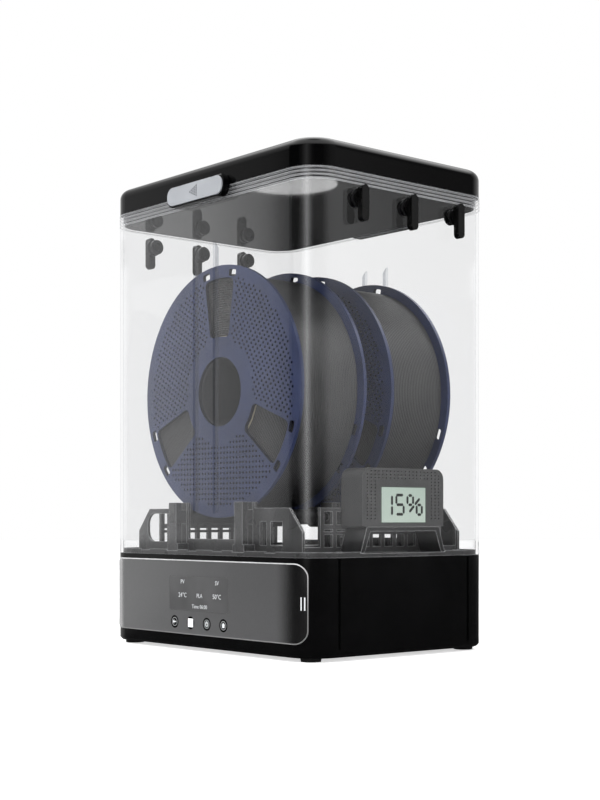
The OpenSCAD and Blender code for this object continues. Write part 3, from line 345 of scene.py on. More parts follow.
def board_material():
    """Circuit board: green resist over a faint grid of tracks."""
    mat, nodes, link = new_material("board_resist")
    coords = object_coords(nodes)
    cells = nodes.new("ShaderNodeTexBrick")
    for socket, v in (("Scale", 160), ("Mortar Size", 0.012), ("Color1", (0.012, 0.07, 0.035, 1)),
                      ("Color2", (0.016, 0.09, 0.045, 1)), ("Mortar", (0.03, 0.16, 0.08, 1))):
        cells.inputs[socket].default_value = v
    link(coords, cells.inputs["Vector"])
    wear = noise(nodes, link, coords, 200)
    return finished(mat, principled(nodes, link, cells.outputs["Color"],
                                    value_at(nodes, link, wear, 0.3, 0.7, 0.25, 0.4)))


def rim_material():
    """Moulded edge round the control panel, with a painted highlight that brightens it towards its
    top.
    """
    mat, nodes, link = new_material("fascia_edge_highlight")
    coords = object_coords(nodes)
    height = split_xyz(nodes, link, coords)[2]
    up = value_at(nodes, link, height, FASCIA[0].z, FASCIA[1].z, 0.0, 1.0)
    # painted highlight: brighter towards the top
    tone = mix_colour(nodes, link, math_node(nodes, link, "POWER", up, 3.0),
                      (0.20, 0.20, 0.20), (0.80, 0.80, 0.81))
    wear = value_at(nodes, link, noise(nodes, link, coords, 90, 3.0), 0.3, 0.7, 0.0, 0.3)
    tone = mix_colour(nodes, link, wear, tone, (0.2, 0.2, 0.2))
    return finished(mat, principled(nodes, link, tone, 0.25))


def screen_material():
    """Liquid crystal display: pale green, a little darker towards its top, finely grained."""
    mat, nodes, link = new_material("screen_pale_green")
    coords = object_coords(nodes)
    height = split_xyz(nodes, link, coords)[2]
    up = value_at(nodes, link, height, SCREEN[0].z, SCREEN[1].z, 0, 1)
    grain = noise(nodes, link, coords, 1800, 3.0)
    tone = mix_colour(nodes, link, up, (0.52, 0.61, 0.54), (0.47, 0.57, 0.50))
    tone = mix_colour(nodes, link, value_at(nodes, link, grain, 0.4, 0.7, 0, 0.12), tone,
                      (0.62, 0.70, 0.64))
    return finished(mat, principled(nodes, link, tone,
                                    value_at(nodes, link, grain, 0.3, 0.7, 0.18, 0.28)))


# ---- Materials ----

BLACK_GLOSS = plastic("black_gloss", (0.0014, 0.0014, 0.0015), 0.045, grain_bump=0.005,
                      rough_spread=0.03, shine=0.13)
BASE_GLOSS = plastic("base_black_gloss", (0.0026, 0.0026, 0.0028), 0.10, grain_bump=0.01,
                     rough_spread=0.05, shine=0.30)
BLACK_SATIN = plastic("black_satin", (0.007, 0.007, 0.0075), 0.34, grain_bump=0.1)
BLACK_PLUG = plastic("black_plug_rubber", (0.0018, 0.0018, 0.0019), 0.26, grain_bump=0.05,
                     shine=0.35)
RUBBER = plastic("foot_rubber", (0.012, 0.012, 0.012), 0.75, grain_bump=0.2, grime=0.1)
# edge gives the colour of a painted highlight along sharp edges
DARK_GREY = plastic("dark_grey_plastic", (0.062, 0.062, 0.063), 0.28, grain_bump=0.1,
                    edge=(0.50, 0.50, 0.51))
CASE_GREY = plastic("case_grey_plastic", (0.066, 0.066, 0.067), 0.4, grain_bump=0.15,
                    edge=(0.12, 0.12, 0.12))
DECK_GREY = plastic("deck_grey_plastic", (0.070, 0.070, 0.071), 0.28, grain_bump=0.1,
                    edge=(0.55, 0.55, 0.56))
STAND_GREY = plastic("stand_grey_plastic", (0.028, 0.028, 0.029), 0.2, grain_bump=0.06,
                     edge=(0.55, 0.55, 0.56))
LINER_GREY = plastic("liner_grey_plastic", (0.003, 0.003, 0.0032), 0.022, grain_bump=0.0,
                     rough_spread=0.012, shine=0.40, edge=(0.25, 0.25, 0.26))
ROLLER_GREY = plastic("roller_grey_plastic", (0.03, 0.03, 0.031), 0.45, grain_bump=0.1)
DUCT_GREY = plastic("duct_grey_plastic", (0.42, 0.42, 0.40), 0.5, grain_bump=0.15, grime=0.1)
SPOOL_BLUE = plastic("spool_indigo", (0.034, 0.046, 0.112), 0.36, spread=0.14, mottle=22,
                     grain_bump=0.1)
# painted shade for the walls of the spools' holes, windows, slots and bore
HOLE_SHADE_BLUE = plastic("spool_hole_painted_shade", (0.006, 0.008, 0.020), 0.6, grain_bump=0.0,
                    shine=0.1)
HUB_GREY = plastic("spool_hub_grey", (0.032, 0.033, 0.038), 0.42, grain_bump=0.1)
GASKET = plastic("gasket_silicone", (0.015, 0.015, 0.015), 0.6, grain_bump=0.1)
LATCH_SILVER = plastic("latch_silver", (0.36, 0.375, 0.40), 0.3, spread=0.05, grain_bump=0.03)
STEEL = brushed("screw_steel", (0.55, 0.55, 0.56), 0.32, (700, 700, 120))
AXLE_STEEL = brushed("axle_steel", (0.62, 0.62, 0.63), 0.22, (900, 40, 900))
FIN_METAL = brushed("heater_aluminium", (0.66, 0.66, 0.66), 0.38, (60, 500, 500))
CLEAR = clear()
# edge here too gives a painted highlight along sharp edges
DISPLAY_SMOKE = plastic("display_smoke", (0.098, 0.098, 0.100), 0.12, grain_bump=0.0, coat=0.4,
                        edge=(0.15, 0.15, 0.15))
INK_WHITE = glow("marking_white", (0.80, 0.82, 0.84), 0.10)
LIT_WHITE = glow("marking_lit", (0.95, 0.96, 0.98), 0.85)
TEXT_GREY = glow("marking_text", (0.72, 0.74, 0.76), 0.0)
# painted highlight: a grey ring on each button's face
RING_HIGHLIGHT = glow("button_ring_highlight", (0.48, 0.49, 0.50), 0.0)
CREAM = plastic("core_cream", (0.42, 0.37, 0.27), 0.6, grain_bump=0.2)
BORDER_GREEN = glow("screen_border_green", (0.045, 0.075, 0.055), 0.0)
SEGMENT = glow("segment_black", (0.006, 0.007, 0.007), 0.0)
FASCIA_SMOKE = fascia_material()
FILAMENT = filament_material()
BOARD = board_material()
SCREEN_GREEN = screen_material()
# fascia edge with a painted highlight along its top
RIM_GREY_HIGHLIGHT = rim_material()

FINISHES = {
    "base_shell": BASE_GLOSS, "base_floor": BLACK_SATIN, "rubber_feet": RUBBER,
    "floor_screws": STEEL, "front_fascia": FASCIA_SMOKE, "display_window": DISPLAY_SMOKE,
    "display_module": BLACK_SATIN, "control_board": BOARD, "air_duct": DUCT_GREY,
    "fan_frame": BLACK_SATIN, "fan_rotor": BLACK_SATIN, "heater": FIN_METAL,
    "power_board": BOARD, "power_inlet": BLACK_SATIN, "deck": DECK_GREY,
    "deck_screws": STEEL, "cradle": DARK_GREY, "cradle_screws": STEEL,
    "cover": CLEAR,
    "port_bushings": BLACK_SATIN, "lid": BLACK_GLOSS, "lid_liner": LINER_GREY,
    "lid_gasket": GASKET, "latch_pins": STEEL, "latch_front": BLACK_GLOSS,
    "latch_front_face": LATCH_SILVER, "latch_rear": BLACK_GLOSS,
    "latch_rear_face": LATCH_SILVER, "hygrometer_stand": STAND_GREY,
    "hygrometer_case": CASE_GREY, "hygrometer_body": BLACK_SATIN,
    "hygrometer_screen": SCREEN_GREEN, "coin_cell": STEEL,
}
FAMILIES = (("button", BLACK_GLOSS), ("roller", ROLLER_GREY), ("plug", BLACK_PLUG),
            ("spool", SPOOL_BLUE), ("filament", FILAMENT), ("axle", AXLE_STEEL),
            ("side_panel", BASE_GLOSS))
for node_name, node_object in NODES.items():
    family = [mat for start, mat in FAMILIES if node_name.startswith(start)]
    node_object.data.materials.clear()
    node_object.data.materials.append(family[0] if family else FINISHES[node_name])


# ---- Mesh helpers ----

def add(name, data):
    """A new object in the scene."""
    made = bpy.data.objects.new(name, data)
    SCENE.collection.objects.link(made)
    return made


def evaluated(shape):
    """A new mesh of an object, with its modifiers and curve settings applied."""
    return bpy.data.meshes.new_from_object(
        shape.evaluated_get(bpy.context.evaluated_depsgraph_get()))


def dressed(name, mesh, body, mat, slot):
    """An object of a mesh, in one material, that rides on a body."""
    mesh.name = name
    mesh.materials.clear()
    mesh.materials.append(mat)
    made = add(name, mesh)
    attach(made, body)
    return made


def piece(name, verts, faces, body, mat, slot, smooth=False):
    mesh = bpy.data.meshes.new(name)
    mesh.from_pydata(verts, [], faces)
    mesh.validate()
    if smooth:
        mesh.shade_smooth()
    return dressed(name, mesh, body, mat, slot)


def prism(outline, place, depth):
    """Verts and faces of a closed prism: points (u, v) at depths 0 and depth, by place(u, v, d)."""
    n = len(outline)
    verts = [place(u, v, d) for d in (0.0, depth) for u, v in outline]
    faces = [list(range(n))[::-1], list(range(n, 2 * n))]
    faces += [[i, (i + 1) % n, n + (i + 1) % n, n + i] for i in range(n)]
    return verts, faces


def gather(parts):
    """Several (verts, faces) as one."""
    verts, faces = [], []
    for v, f in parts:
        at = len(verts)
        verts += v
        faces += [[i + at for i in face] for face in f]
    return verts, faces


def lathe(profile, x, z, segments):
    """Closed profile of (radius, y) turned round the Y axis at x, z."""
    n = len(profile)
    verts = []
    for s in range(segments):
        a = 2 * math.pi * s / segments
        verts += [(x + r * math.cos(a), y, z + r * math.sin(a)) for r, y in profile]
    faces = []
    for s in range(segments):
        t = (s + 1) % segments
        for i in range(n):
            j = (i + 1) % n
            faces.append([s * n + i, s * n + j, t * n + j, t * n + i])
    return verts, faces


# ---- Cradle: the CAD frame with slimmer pillars and wider openings ----

# Millimetres, as in part.scad. Rises count from the deck, on which the cradle stands
SLOPE_RUN, SLOPE_DROP, SLOPE_TOP = 15.5, 18.2, 34.06
CRADLE_WALL_Y, CRADLE_SHIFT, CRADLE_WINDOWS, CRADLE_PITCH = 81.4, 1.4, 12, 12.5
PLATE_T, SLAB_T, WEB_RISE, BOSS_R = 2.4, 5.6, 6.0, 5.6
PILLAR_X, PILLAR_HALF, PILLAR_SLIM = 43.0, 7.0, 5.0
SIDE_WALL_IN, SIDE_CUT_HALF = 3.2, 2.6
WINDOW_HALF_W, WINDOW_RISES, WINDOWS_END = 4.25, ((10.0, 13.8), (27.8, 31.0)), 22
END_GAP_HALF, END_GAP_L, END_GAP_RISE = 3.4, 16.5, 4.3
DOORWAY_X, DOORWAY_RISES = (-80.0, -65.4), (7.0, 30.0)
CLEAR_OF = 0.3  # keeps a cut off a wall's own faces


def box_verts(low, high):
    return [(x, y, z) for x in (low[0], high[0]) for y in (low[1], high[1])
            for z in (low[2], high[2])]


BOX_FACES = [[0, 1, 3, 2], [4, 6, 7, 5], [0, 4, 5, 1], [2, 3, 7, 6], [0, 2, 6, 4], [1, 5, 7, 3]]


def cradle_limits():
    """The cradle's box, and the Y of its front and rear walls."""
    low, high = (v * 1000 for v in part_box("cradle"))
    return low, high, CRADLE_SHIFT - CRADLE_WALL_Y, CRADLE_SHIFT + CRADLE_WALL_Y


def cradle_cuts():
    """Boxes (low, high) to cut from the cradle."""
    low, high, front, rear = cradle_limits()
    deck, top = low.z, high.z + 1
    axle_z = mid("axle_left").z * 1000
    web = deck + WEB_RISE
    cuts = []
    for side in (-1, 1):
        # both edges of each pillar, outside the end walls
        for a, b in ((PILLAR_X - PILLAR_HALF - 1, PILLAR_X - PILLAR_SLIM),
                     (PILLAR_X + PILLAR_SLIM, PILLAR_X + PILLAR_HALF + 1)):
            xa, xb = sorted((side * a, side * b))
            cuts += [((xa, low.y - 1, web), (xb, front - PLATE_T, top)),
                     ((xa, rear + PLATE_T, web), (xb, high.y + 1, top))]
        # the gap between each pillar's slab and the end wall, below and above the axle's boss
        reach = PILLAR_SLIM + 0.5
        xa, xb = sorted((side * (PILLAR_X - reach), side * (PILLAR_X + reach)))
        for za, zb in ((web, axle_z - BOSS_R), (axle_z + BOSS_R, top)):
            cuts += [((xa, low.y + SLAB_T, za), (xb, front - PLATE_T - CLEAR_OF, zb)),
                     ((xa, rear + PLATE_T + CLEAR_OF, za), (xb, high.y - SLAB_T, zb))]
        # both ends of each side wall, and the windows between them
        wall = side * (high.x - SIDE_WALL_IN)
        for y in (front + CLEAR_OF, rear - END_GAP_L - CLEAR_OF):
            cuts.append(((wall - END_GAP_HALF, y, deck + END_GAP_RISE),
                         (wall + END_GAP_HALF, y + END_GAP_L, top)))
        for i in range(CRADLE_WINDOWS):
            y = CRADLE_SHIFT + (i - (CRADLE_WINDOWS - 1) / 2) * CRADLE_PITCH
            if not front + WINDOWS_END < y < rear - WINDOWS_END:
                continue
            for za, zb in WINDOW_RISES:
                cuts.append(((wall - SIDE_CUT_HALF, y - WINDOW_HALF_W, deck + za),
                             (wall + SIDE_CUT_HALF, y + WINDOW_HALF_W, deck + zb)))
    # the D-shaped opening, through both end walls
    for y in (front - PLATE_T - 0.5, rear - 0.5):
        cuts.append(((DOORWAY_X[0], y, deck + DOORWAY_RISES[0]),
                     (DOORWAY_X[1], y + PLATE_T + 1, deck + DOORWAY_RISES[1])))
    return cuts


def corner_cuts():
    """Wedges (eight corners each) that carry the end walls' slopes through the side walls."""
    low, high, front, rear = cradle_limits()
    top = low.z + SLOPE_TOP
    foot_z = top - SLOPE_DROP - SLOPE_DROP / SLOPE_RUN
    wedges = []
    for side in (-1, 1):
        ends = sorted(((side * (high.x + 1), foot_z), (side * (high.x - SLOPE_RUN), top)))
        for ya, yb in ((front - 3, front + 1), (rear - 1, rear + 3)):
            wedges.append([(x, y, z) for x, foot in ends for y in (ya, yb)
                           for z in (foot, top + 8)])
    return wedges


def cradle():
    """The cradle with those boxes and wedges cut out, as one closed mesh."""
    shape = add("cradle_frame", NODES["cradle"].data.copy())
    solids = [box_verts(*cut) for cut in cradle_cuts()] + corner_cuts()
    verts, faces = gather([([tuple(c * MM for c in v) for v in solid], BOX_FACES)
                           for solid in solids])
    knives = bpy.data.meshes.new("cradle_knives")
    knives.from_pydata(verts, [], faces)
    knife = add("cradle_knives", knives)
    cut = shape.modifiers.new("cut", "BOOLEAN")
    cut.operation, cut.solver, cut.object, cut.use_self = "DIFFERENCE", "EXACT", knife, True
    bpy.context.view_layer.update()
    result = evaluated(shape)
    shape.modifiers.clear()
    shape.data = result
    result.name = "cradle_frame"
    bpy.data.objects.remove(knife)
    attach(shape, "dryer")
    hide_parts("cradle")


cradle()


# ---- Spools: pierced flanges, a dark hub, and wound filament ----

FLANGE_T = 3 * MM
DRUM_R = 42 * MM
BORE_R = 27.5 * MM
LINER_R = 44.4 * MM
WINDOW_IN, WINDOW_OUT = 43.5 * MM, 90 * MM
WINDOW_HALF, WINDOW_TAPER, WINDOW_ROUND = 12 * MM, 0.15, 4.5 * MM
SLOT_R, SLOT_TILT, SLOT_L, SLOT_W = 94 * MM, 10.3, 9 * MM, 5.4 * MM
HOLE_R, HOLE_PITCH, HOLE_MARGIN = 1.04 * MM, 4.05 * MM, 2.6 * MM
HOLE_SIDES = 10
HOLES_IN, HOLES_OUT, HOLE_APART, GRID_R = 41.8 * MM, 90.6 * MM, 2.9 * MM, 95 * MM
FLANGE_R, SLOT_ROUND = 100 * MM, 1.5 * MM
DRUM_WALL, SPOKE_HALF, SPOKE_INTO = 3 * MM, 1.5 * MM, 1 * MM
CORE_STEPS, COIL_STEPS = 96, 120
STRAND = 1.75 * MM
STRAND_BULGE, STRAND_DIP = 0.30, 0.22  # of a strand's width
SKIN = 0.06 * MM  # gap between the core's liner, the drum and the filament


def arc(cx, cy, r, start, end, steps):
    return [(cx + r * math.cos(math.radians(start + (end - start) * i / steps)),
             cy + r * math.sin(math.radians(start + (end - start) * i / steps)))
            for i in range(steps + 1)]


def window_outline():
    """Rounded wedge, symmetrical about +Z, as the CAD flange has it."""
    lean = math.hypot(1, WINDOW_TAPER)

    def corner(rho):
        start = WINDOW_HALF - WINDOW_TAPER * WINDOW_IN - WINDOW_ROUND * lean
        along = (math.sqrt((lean * rho) ** 2 - start ** 2) - start * WINDOW_TAPER) / lean ** 2
        return start + WINDOW_TAPER * along, along

    low, high = corner(WINDOW_IN + WINDOW_ROUND), corner(WINDOW_OUT - WINDOW_ROUND)
    side = -math.degrees(math.atan(WINDOW_TAPER))
    low_angle = math.degrees(math.atan2(low[1], low[0]))
    high_angle = math.degrees(math.atan2(high[1], high[0]))
    right = arc(*low, WINDOW_ROUND, low_angle - 180, side, 6)
    right += arc(*high, WINDOW_ROUND, side, high_angle, 6)
    top = arc(0, 0, WINDOW_OUT, high_angle, 180 - high_angle, 10)[1:-1]
    left = [(-x, y) for x, y in reversed(right)]
    foot = arc(0, 0, WINDOW_IN, 180 - low_angle, low_angle, 8)[1:-1]
    return right + top + left + foot


def turned(points, degrees):
    c, s = math.cos(math.radians(degrees)), math.sin(math.radians(degrees))
    return [(x * c - y * s, x * s + y * c) for x, y in points]


def in_window(x, y, margin):
    """Whether a point lies in the window about +Z, or nearer to it than margin."""
    r = math.hypot(x, y)
    if not WINDOW_IN - margin < r < WINDOW_OUT + margin or y <= 0:
        return False
    half = WINDOW_HALF + WINDOW_TAPER * (y - WINDOW_IN)
    return abs(x) < half + margin * math.hypot(1, WINDOW_TAPER)


def hole_centres():
    """A square grid in each third of the flange, its rows level in the lowest third."""
    found = []
    reach = int(GRID_R / HOLE_PITCH) + 1
    for turn in (0, 120, 240):
        for i in range(-reach, reach + 1):
            for j in range(-reach, 1):
                x, y = (i + 0.5) * HOLE_PITCH, j * HOLE_PITCH
                r = math.hypot(x, y)
                third = abs(math.degrees(math.atan2(x, -y))) if r else 180
                if not HOLES_IN < r < HOLES_OUT or third > 60:
                    continue
                windows = [turned([(x, y)], -w)[0] for w in (-120, 120)]
                if any(in_window(*p, HOLE_MARGIN) for p in windows):
                    continue
                found.append(turned([(x, y)], turn)[0])
    kept = []
    for p in found:  # where two thirds' grids meet, no hole cuts into another
        if all((p[0] - q[0]) ** 2 + (p[1] - q[1]) ** 2 > HOLE_APART ** 2 for q in kept):
            kept.append(p)
    return kept


def flange_mesh():
    """One pierced flange about the origin in the XY plane, 0 to FLANGE_T thick."""
    curve = bpy.data.curves.new("flange_outline", "CURVE")
    curve.dimensions = "2D"
    curve.fill_mode = "BOTH"
    curve.extrude = FLANGE_T / 2

    def ring(points):
        spline = curve.splines.new("POLY")
        spline.points.add(len(points) - 1)
        for p, (x, y) in zip(spline.points, points):
            p.co = (x, y, 0, 1)
        spline.use_cyclic_u = True

    ring(arc(0, 0, FLANGE_R, 0, 360, 180)[:-1])
    ring(arc(0, 0, BORE_R, 0, 360, 72)[:-1])
    slot_half, slot_up = SLOT_L / 2 - SLOT_ROUND, SLOT_W / 2 - SLOT_ROUND
    slot = []
    for cx, cy, start in ((1, 1, 0), (-1, 1, 90), (-1, -1, 180), (1, -1, 270)):
        slot += arc(cx * slot_half, SLOT_R + cy * slot_up, SLOT_ROUND, start, start + 90, 4)
    for turn in (0, 120, 240):
        ring(turned(window_outline(), turn))
        for tilt in (-SLOT_TILT, SLOT_TILT):
            ring(turned(slot, turn + tilt))
    for x, y in hole_centres():
        ring(arc(x, y, HOLE_R, 0, 360, HOLE_SIDES)[:-1])
    shape = add("flange_outline", curve)
    made = evaluated(shape)
    bpy.data.objects.remove(shape)
    verts = [tuple(v.co) for v in made.vertices]
    faces = [list(p.vertices) for p in made.polygons]
    bpy.data.meshes.remove(made)
    return verts, faces


def winding_profile(y_low, y_high, r_in, r_out):
    """Cross-section of the wound filament: a row of strands on its outside and on both faces."""
    points = []
    rows = int((y_high - y_low) / STRAND)
    step = (y_high - y_low) / rows
    for i in range(rows):
        for k in range(5):
            a = math.pi * (1 - k / 4)
            bulge = STRAND * STRAND_BULGE
            points.append((r_out - bulge + bulge * math.sin(a),
                           y_low + step * (i + 0.5) + step * 0.5 * math.cos(a)))
    rings = int((r_out - r_in) / STRAND)
    ring_step = (r_out - r_in) / rings

    def face(y, outwards, order):
        made = []
        for i in order:
            for k in (0.12, 0.5, 0.88):
                along = k if outwards > 0 else 1 - k
                dip = 0.0 if k == 0.5 else STRAND * STRAND_DIP
                made.append((r_in + ring_step * (i + along), y - math.copysign(dip, outwards)))
        return made

    points += face(y_high, 1, range(rings - 1, -1, -1))
    points += face(y_low, -1, range(rings))
    return points


FLANGE = flange_mesh()


def spool(which):
    node, wound = f"spool_{which}", f"filament_{which}"
    low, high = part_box(node)
    centre = (low + high) / 2

    def flange_at(y):
        return [(centre.x + vx, y - vz, centre.z + vy) for vx, vy, vz in FLANGE[0]], FLANGE[1]

    def tube_wall(r_out, r_in):
        profile = [(r_out, inner_low), (r_out, inner_high), (r_in, inner_high), (r_in, inner_low)]
        return lathe(profile, centre.x, centre.z, CORE_STEPS)

    inner_low, inner_high = low.y + FLANGE_T, high.y - FLANGE_T
    parts = [flange_at(low.y + FLANGE_T / 2), flange_at(high.y - FLANGE_T / 2)]
    made = piece(f"{node}_flanges", *gather(parts), node, SPOOL_BLUE, "spool_blue")
    # painted shade: the walls of the holes, windows, slots and bore take a darker indigo
    made.data.materials.append(HOLE_SHADE_BLUE)
    for face in made.data.polygons:  # the walls of the holes lie in their own shade
        away = face.center - centre
        if abs(face.normal.y) < 0.5 and math.hypot(away.x, away.z) < 98 * MM:
            face.material_index = 1
    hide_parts(node)
    core = [tube_wall(DRUM_R, DRUM_R - DRUM_WALL), tube_wall(BORE_R + DRUM_WALL, BORE_R)]
    spoke_in, spoke_out = BORE_R + DRUM_WALL - SPOKE_INTO, DRUM_R - DRUM_WALL + SPOKE_INTO
    for turn in (60, 180, 300):
        spoke = turned([(-SPOKE_HALF, spoke_in), (SPOKE_HALF, spoke_in),
                        (SPOKE_HALF, spoke_out), (-SPOKE_HALF, spoke_out)], turn)
        core.append(prism(spoke, lambda u, v, d: (centre.x + u, inner_low + d, centre.z + v),
                          inner_high - inner_low))
    piece(f"{node}_core", *gather(core), node, HUB_GREY, "spool_blue")
    liner = [(DRUM_R + SKIN, inner_low + SKIN), (LINER_R, inner_low + SKIN),
             (LINER_R, inner_high - SKIN), (DRUM_R + SKIN, inner_high - SKIN)]
    piece(f"{node}_core_liner", *lathe(liner, centre.x, centre.z, CORE_STEPS), node,
          CREAM, "spool_blue")
    w_low, w_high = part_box(wound)
    outer = (w_high.x - w_low.x) / 2
    coil = piece(f"{wound}_coil", *lathe(
        winding_profile(w_low.y, w_high.y, LINER_R + SKIN, outer), centre.x, centre.z, COIL_STEPS),
        node, FILAMENT, "filament_grey", smooth=True)
    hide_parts(wound)


for which in ("front", "rear"):
    spool(which)


# ---- Markings on the control panel ----

FRONT = FASCIA[0].y
RIM_R, RIM_SUNK = 0.45 * MM, 0.14 * MM
TEXT_T, TEXT_SHIFT = 0.05 * MM, 2.2
END_MARKS_X, END_MARKS_Z, END_MARK_W = (118.0, 120.4), (38 * MM, 47.6 * MM), 0.8 * MM
BUTTON_RING = (3.5 * MM, 3.1 * MM)


def front_y(x):
    """Y of the fascia's surface at x, round the box's upright corners too."""
    straight = BOX_X - CORNER_R
    proud = -BOX_Y - FRONT
    if abs(x) <= straight:
        return FRONT
    reach = CORNER_R + proud
    return -(BOX_Y - CORNER_R) - math.sqrt(max(reach ** 2 - (abs(x) - straight) ** 2, 0))


def fascia_rim():
    """Moulded edge round the fascia, swept along its outline, brightest along its top with a
    painted highlight.
    """
    inset, r = 0.3 * MM, 9.7 * MM
    x1, z0, z1 = FASCIA[1].x - inset, FASCIA[0].z + inset, FASCIA[1].z - inset
    flat = []
    for cx, cz, start in ((1, 1, 0), (-1, 1, 90), (-1, -1, 180), (1, -1, 270)):
        zc = z1 - r if cz > 0 else z0 + r
        flat += arc(cx * (x1 - r), zc, r, start, start + 90, 8)
    points = []
    for (xa, za), (xb, zb) in zip(flat, flat[1:] + flat[:1]):
        steps = max(1, int(math.hypot(xb - xa, zb - za) / (4 * MM)))
        points += [(xa + (xb - xa) * i / steps, za + (zb - za) * i / steps) for i in range(steps)]
    curve = bpy.data.curves.new("fascia_rim", "CURVE")
    curve.dimensions = "3D"
    curve.bevel_depth = RIM_R
    curve.bevel_resolution = 2
    curve.use_fill_caps = True
    spline = curve.splines.new("POLY")
    spline.points.add(len(points) - 1)
    for p, (x, z) in zip(spline.points, points):
        p.co = (x, front_y(x) + RIM_SUNK, z, 1)
    spline.use_cyclic_u = True
    shape = add("fascia_rim", curve)
    mesh = evaluated(shape)
    bpy.data.objects.remove(shape)
    dressed("fascia_rim", mesh, "dryer", RIM_GREY_HIGHLIGHT, "smoked_gloss")


fascia_rim()


def strip(x, z_low, z_high, width, depth):
    """Upright mark on the fascia's curved end."""
    xa, xb = x - width / 2, x + width / 2
    y0a, y0b = front_y(xa), front_y(xb)
    verts = [(xa, y0a - depth, z_low), (xb, y0b - depth, z_low), (xb, y0b - depth, z_high),
             (xa, y0a - depth, z_high), (xa, y0a + depth, z_low), (xb, y0b + depth, z_low),
             (xb, y0b + depth, z_high), (xa, y0a + depth, z_high)]
    faces = [[0, 1, 2, 3], [7, 6, 5, 4], [0, 4, 5, 1], [1, 5, 6, 2], [2, 6, 7, 3], [3, 7, 4, 0]]
    return verts, faces


piece("fascia_marks", *gather([strip(x * MM, *END_MARKS_Z, END_MARK_W, MARK_T)
                               for x in END_MARKS_X]), "dryer", INK_WHITE, "smoked_gloss")


def text(name, words, x, z, size):
    """Lettering on the display, centred on x, z, as a mesh that stands off the front."""
    curve = bpy.data.curves.new(name, "FONT")
    curve.body = words
    curve.size = size
    curve.align_x, curve.align_y = "CENTER", "CENTER"
    curve.extrude = TEXT_T
    curve.resolution_u = 2
    shape = add(name, curve)
    shape.matrix_world = Matrix.Translation((x, FRONT - TEXT_T * 0.8, z)) @ Matrix.Rotation(
        math.radians(90), 4, "X")
    bpy.context.view_layer.update()
    mesh = evaluated(shape)
    mesh.transform(shape.matrix_world)
    bpy.data.objects.remove(shape)
    dressed(name, mesh, "dryer", TEXT_GREY, "smoked_gloss")


D_X, D_Z = (DISPLAY[0].x + DISPLAY[1].x) / 2, (DISPLAY[0].z + DISPLAY[1].z) / 2
for label, words, dx, dz, size in (
        ("text_pv", "PV", -23.5, 9.0, 4.6), ("text_sv", "SV", 21.5, 9.0, 4.6),
        ("text_now", "24°C", -23.5, -1.6, 5.2), ("text_set", "50°C", 21.5, -1.6, 5.2),
        ("text_kind", "PLA", -1.0, -1.6, 4.6), ("text_time", "Time 06:00", -1.0, -10.2, 4.4)):
    text(label, words, D_X + (dx + TEXT_SHIFT) * MM, D_Z + dz * MM, size * MM)


def on_front(cx, cz, y):
    return lambda u, v, d: (cx + u, y - d, cz + v)


def ring_band(r_out, r_in, place, depth, steps=36, start=0.0, sweep=360.0):
    """Flat ring or part of one, as a closed mesh."""
    whole = sweep >= 360
    n = steps if whole else steps + 1
    verts = []
    for d in (0.0, depth):
        for r in (r_out, r_in):
            for i in range(n):
                a = math.radians(start + sweep * i / steps)
                verts.append(place(r * math.cos(a), r * math.sin(a), d))
    faces = []
    for i in range(steps):
        j = (i + 1) % n if whole else i + 1
        faces += [[i, j, n + j, n + i][::-1], [2 * n + i, 2 * n + j, 3 * n + j, 3 * n + i],
                  [i, 2 * n + i, 2 * n + j, j][::-1],
                  [n + i, n + j, 3 * n + j, 3 * n + i][::-1]]
    if not whole:
        faces += [[0, n, 3 * n, 2 * n], [n - 1, 2 * n - 1, 4 * n - 1, 3 * n - 1][::-1]]
    return verts, faces


def bar(u0, v0, u1, v1, width, place, depth):
    """Straight stroke between two points."""
    along = math.hypot(u1 - u0, v1 - v0)
    nx, ny = -(v1 - v0) / along * width / 2, (u1 - u0) / along * width / 2
    return prism([(u0 + nx, v0 + ny), (u0 - nx, v0 - ny), (u1 - nx, v1 - ny),
                  (u1 + nx, v1 + ny)], place, depth)


def button_marks():
    """A sign on each button, and a thin grey ring, a painted highlight, round all of them but the
    stop sign.
    """
    places = {}
    for name in ("back", "stop", "power", "home"):
        low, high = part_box(f"button_{name}")
        places[name] = on_front((low.x + high.x) / 2, (low.z + high.z) / 2, low.y + MARK_T / 2)
        if name != "stop":
            # painted highlight ring on the button's face
            piece(f"button_{name}_ring", *ring_band(*BUTTON_RING, places[name], MARK_T),
                  f"button_{name}", RING_HIGHLIGHT, "gloss_black")

    def stroke(name, ends, width, lift=1.0):
        """Bar in millimetres; crossing bars differ in lift, so that no faces coincide."""
        return bar(*(v * MM for v in ends), width * MM, places[name], MARK_T * lift)

    def outline(name, points):
        return prism([(u * MM, v * MM) for u, v in points], places[name], MARK_T)

    signs = (
        ("back", INK_WHITE, gather([stroke("back", (-2.0, 0, 2.0, 0), 0.9),
                                    stroke("back", (-2.0, 0, -0.7, 1.4), 0.8, 1.1),
                                    stroke("back", (-2.0, 0, -0.7, -1.4), 0.8, 1.2)])),
        ("stop", LIT_WHITE, outline("stop", [(-3.3, -3.3), (3.3, -3.3), (3.3, 3.3), (-3.3, 3.3)])),
        ("power", INK_WHITE, gather([
            ring_band(2.0 * MM, 1.2 * MM, places["power"], MARK_T, 24, 120, 300),
            stroke("power", (0, 0.2, 0, 2.4), 0.8, 1.1)])),
        ("home", INK_WHITE, outline("home", [(-1.5, -1.7), (1.5, -1.7), (1.5, 0.3), (2.3, 0.3),
                                             (0, 2.3), (-2.3, 0.3), (-1.5, 0.3)])))
    for name, mat, shape in signs:
        piece(f"button_{name}_sign", *shape, f"button_{name}", mat, "gloss_black")


button_marks()


# ---- Hygrometer digits ----

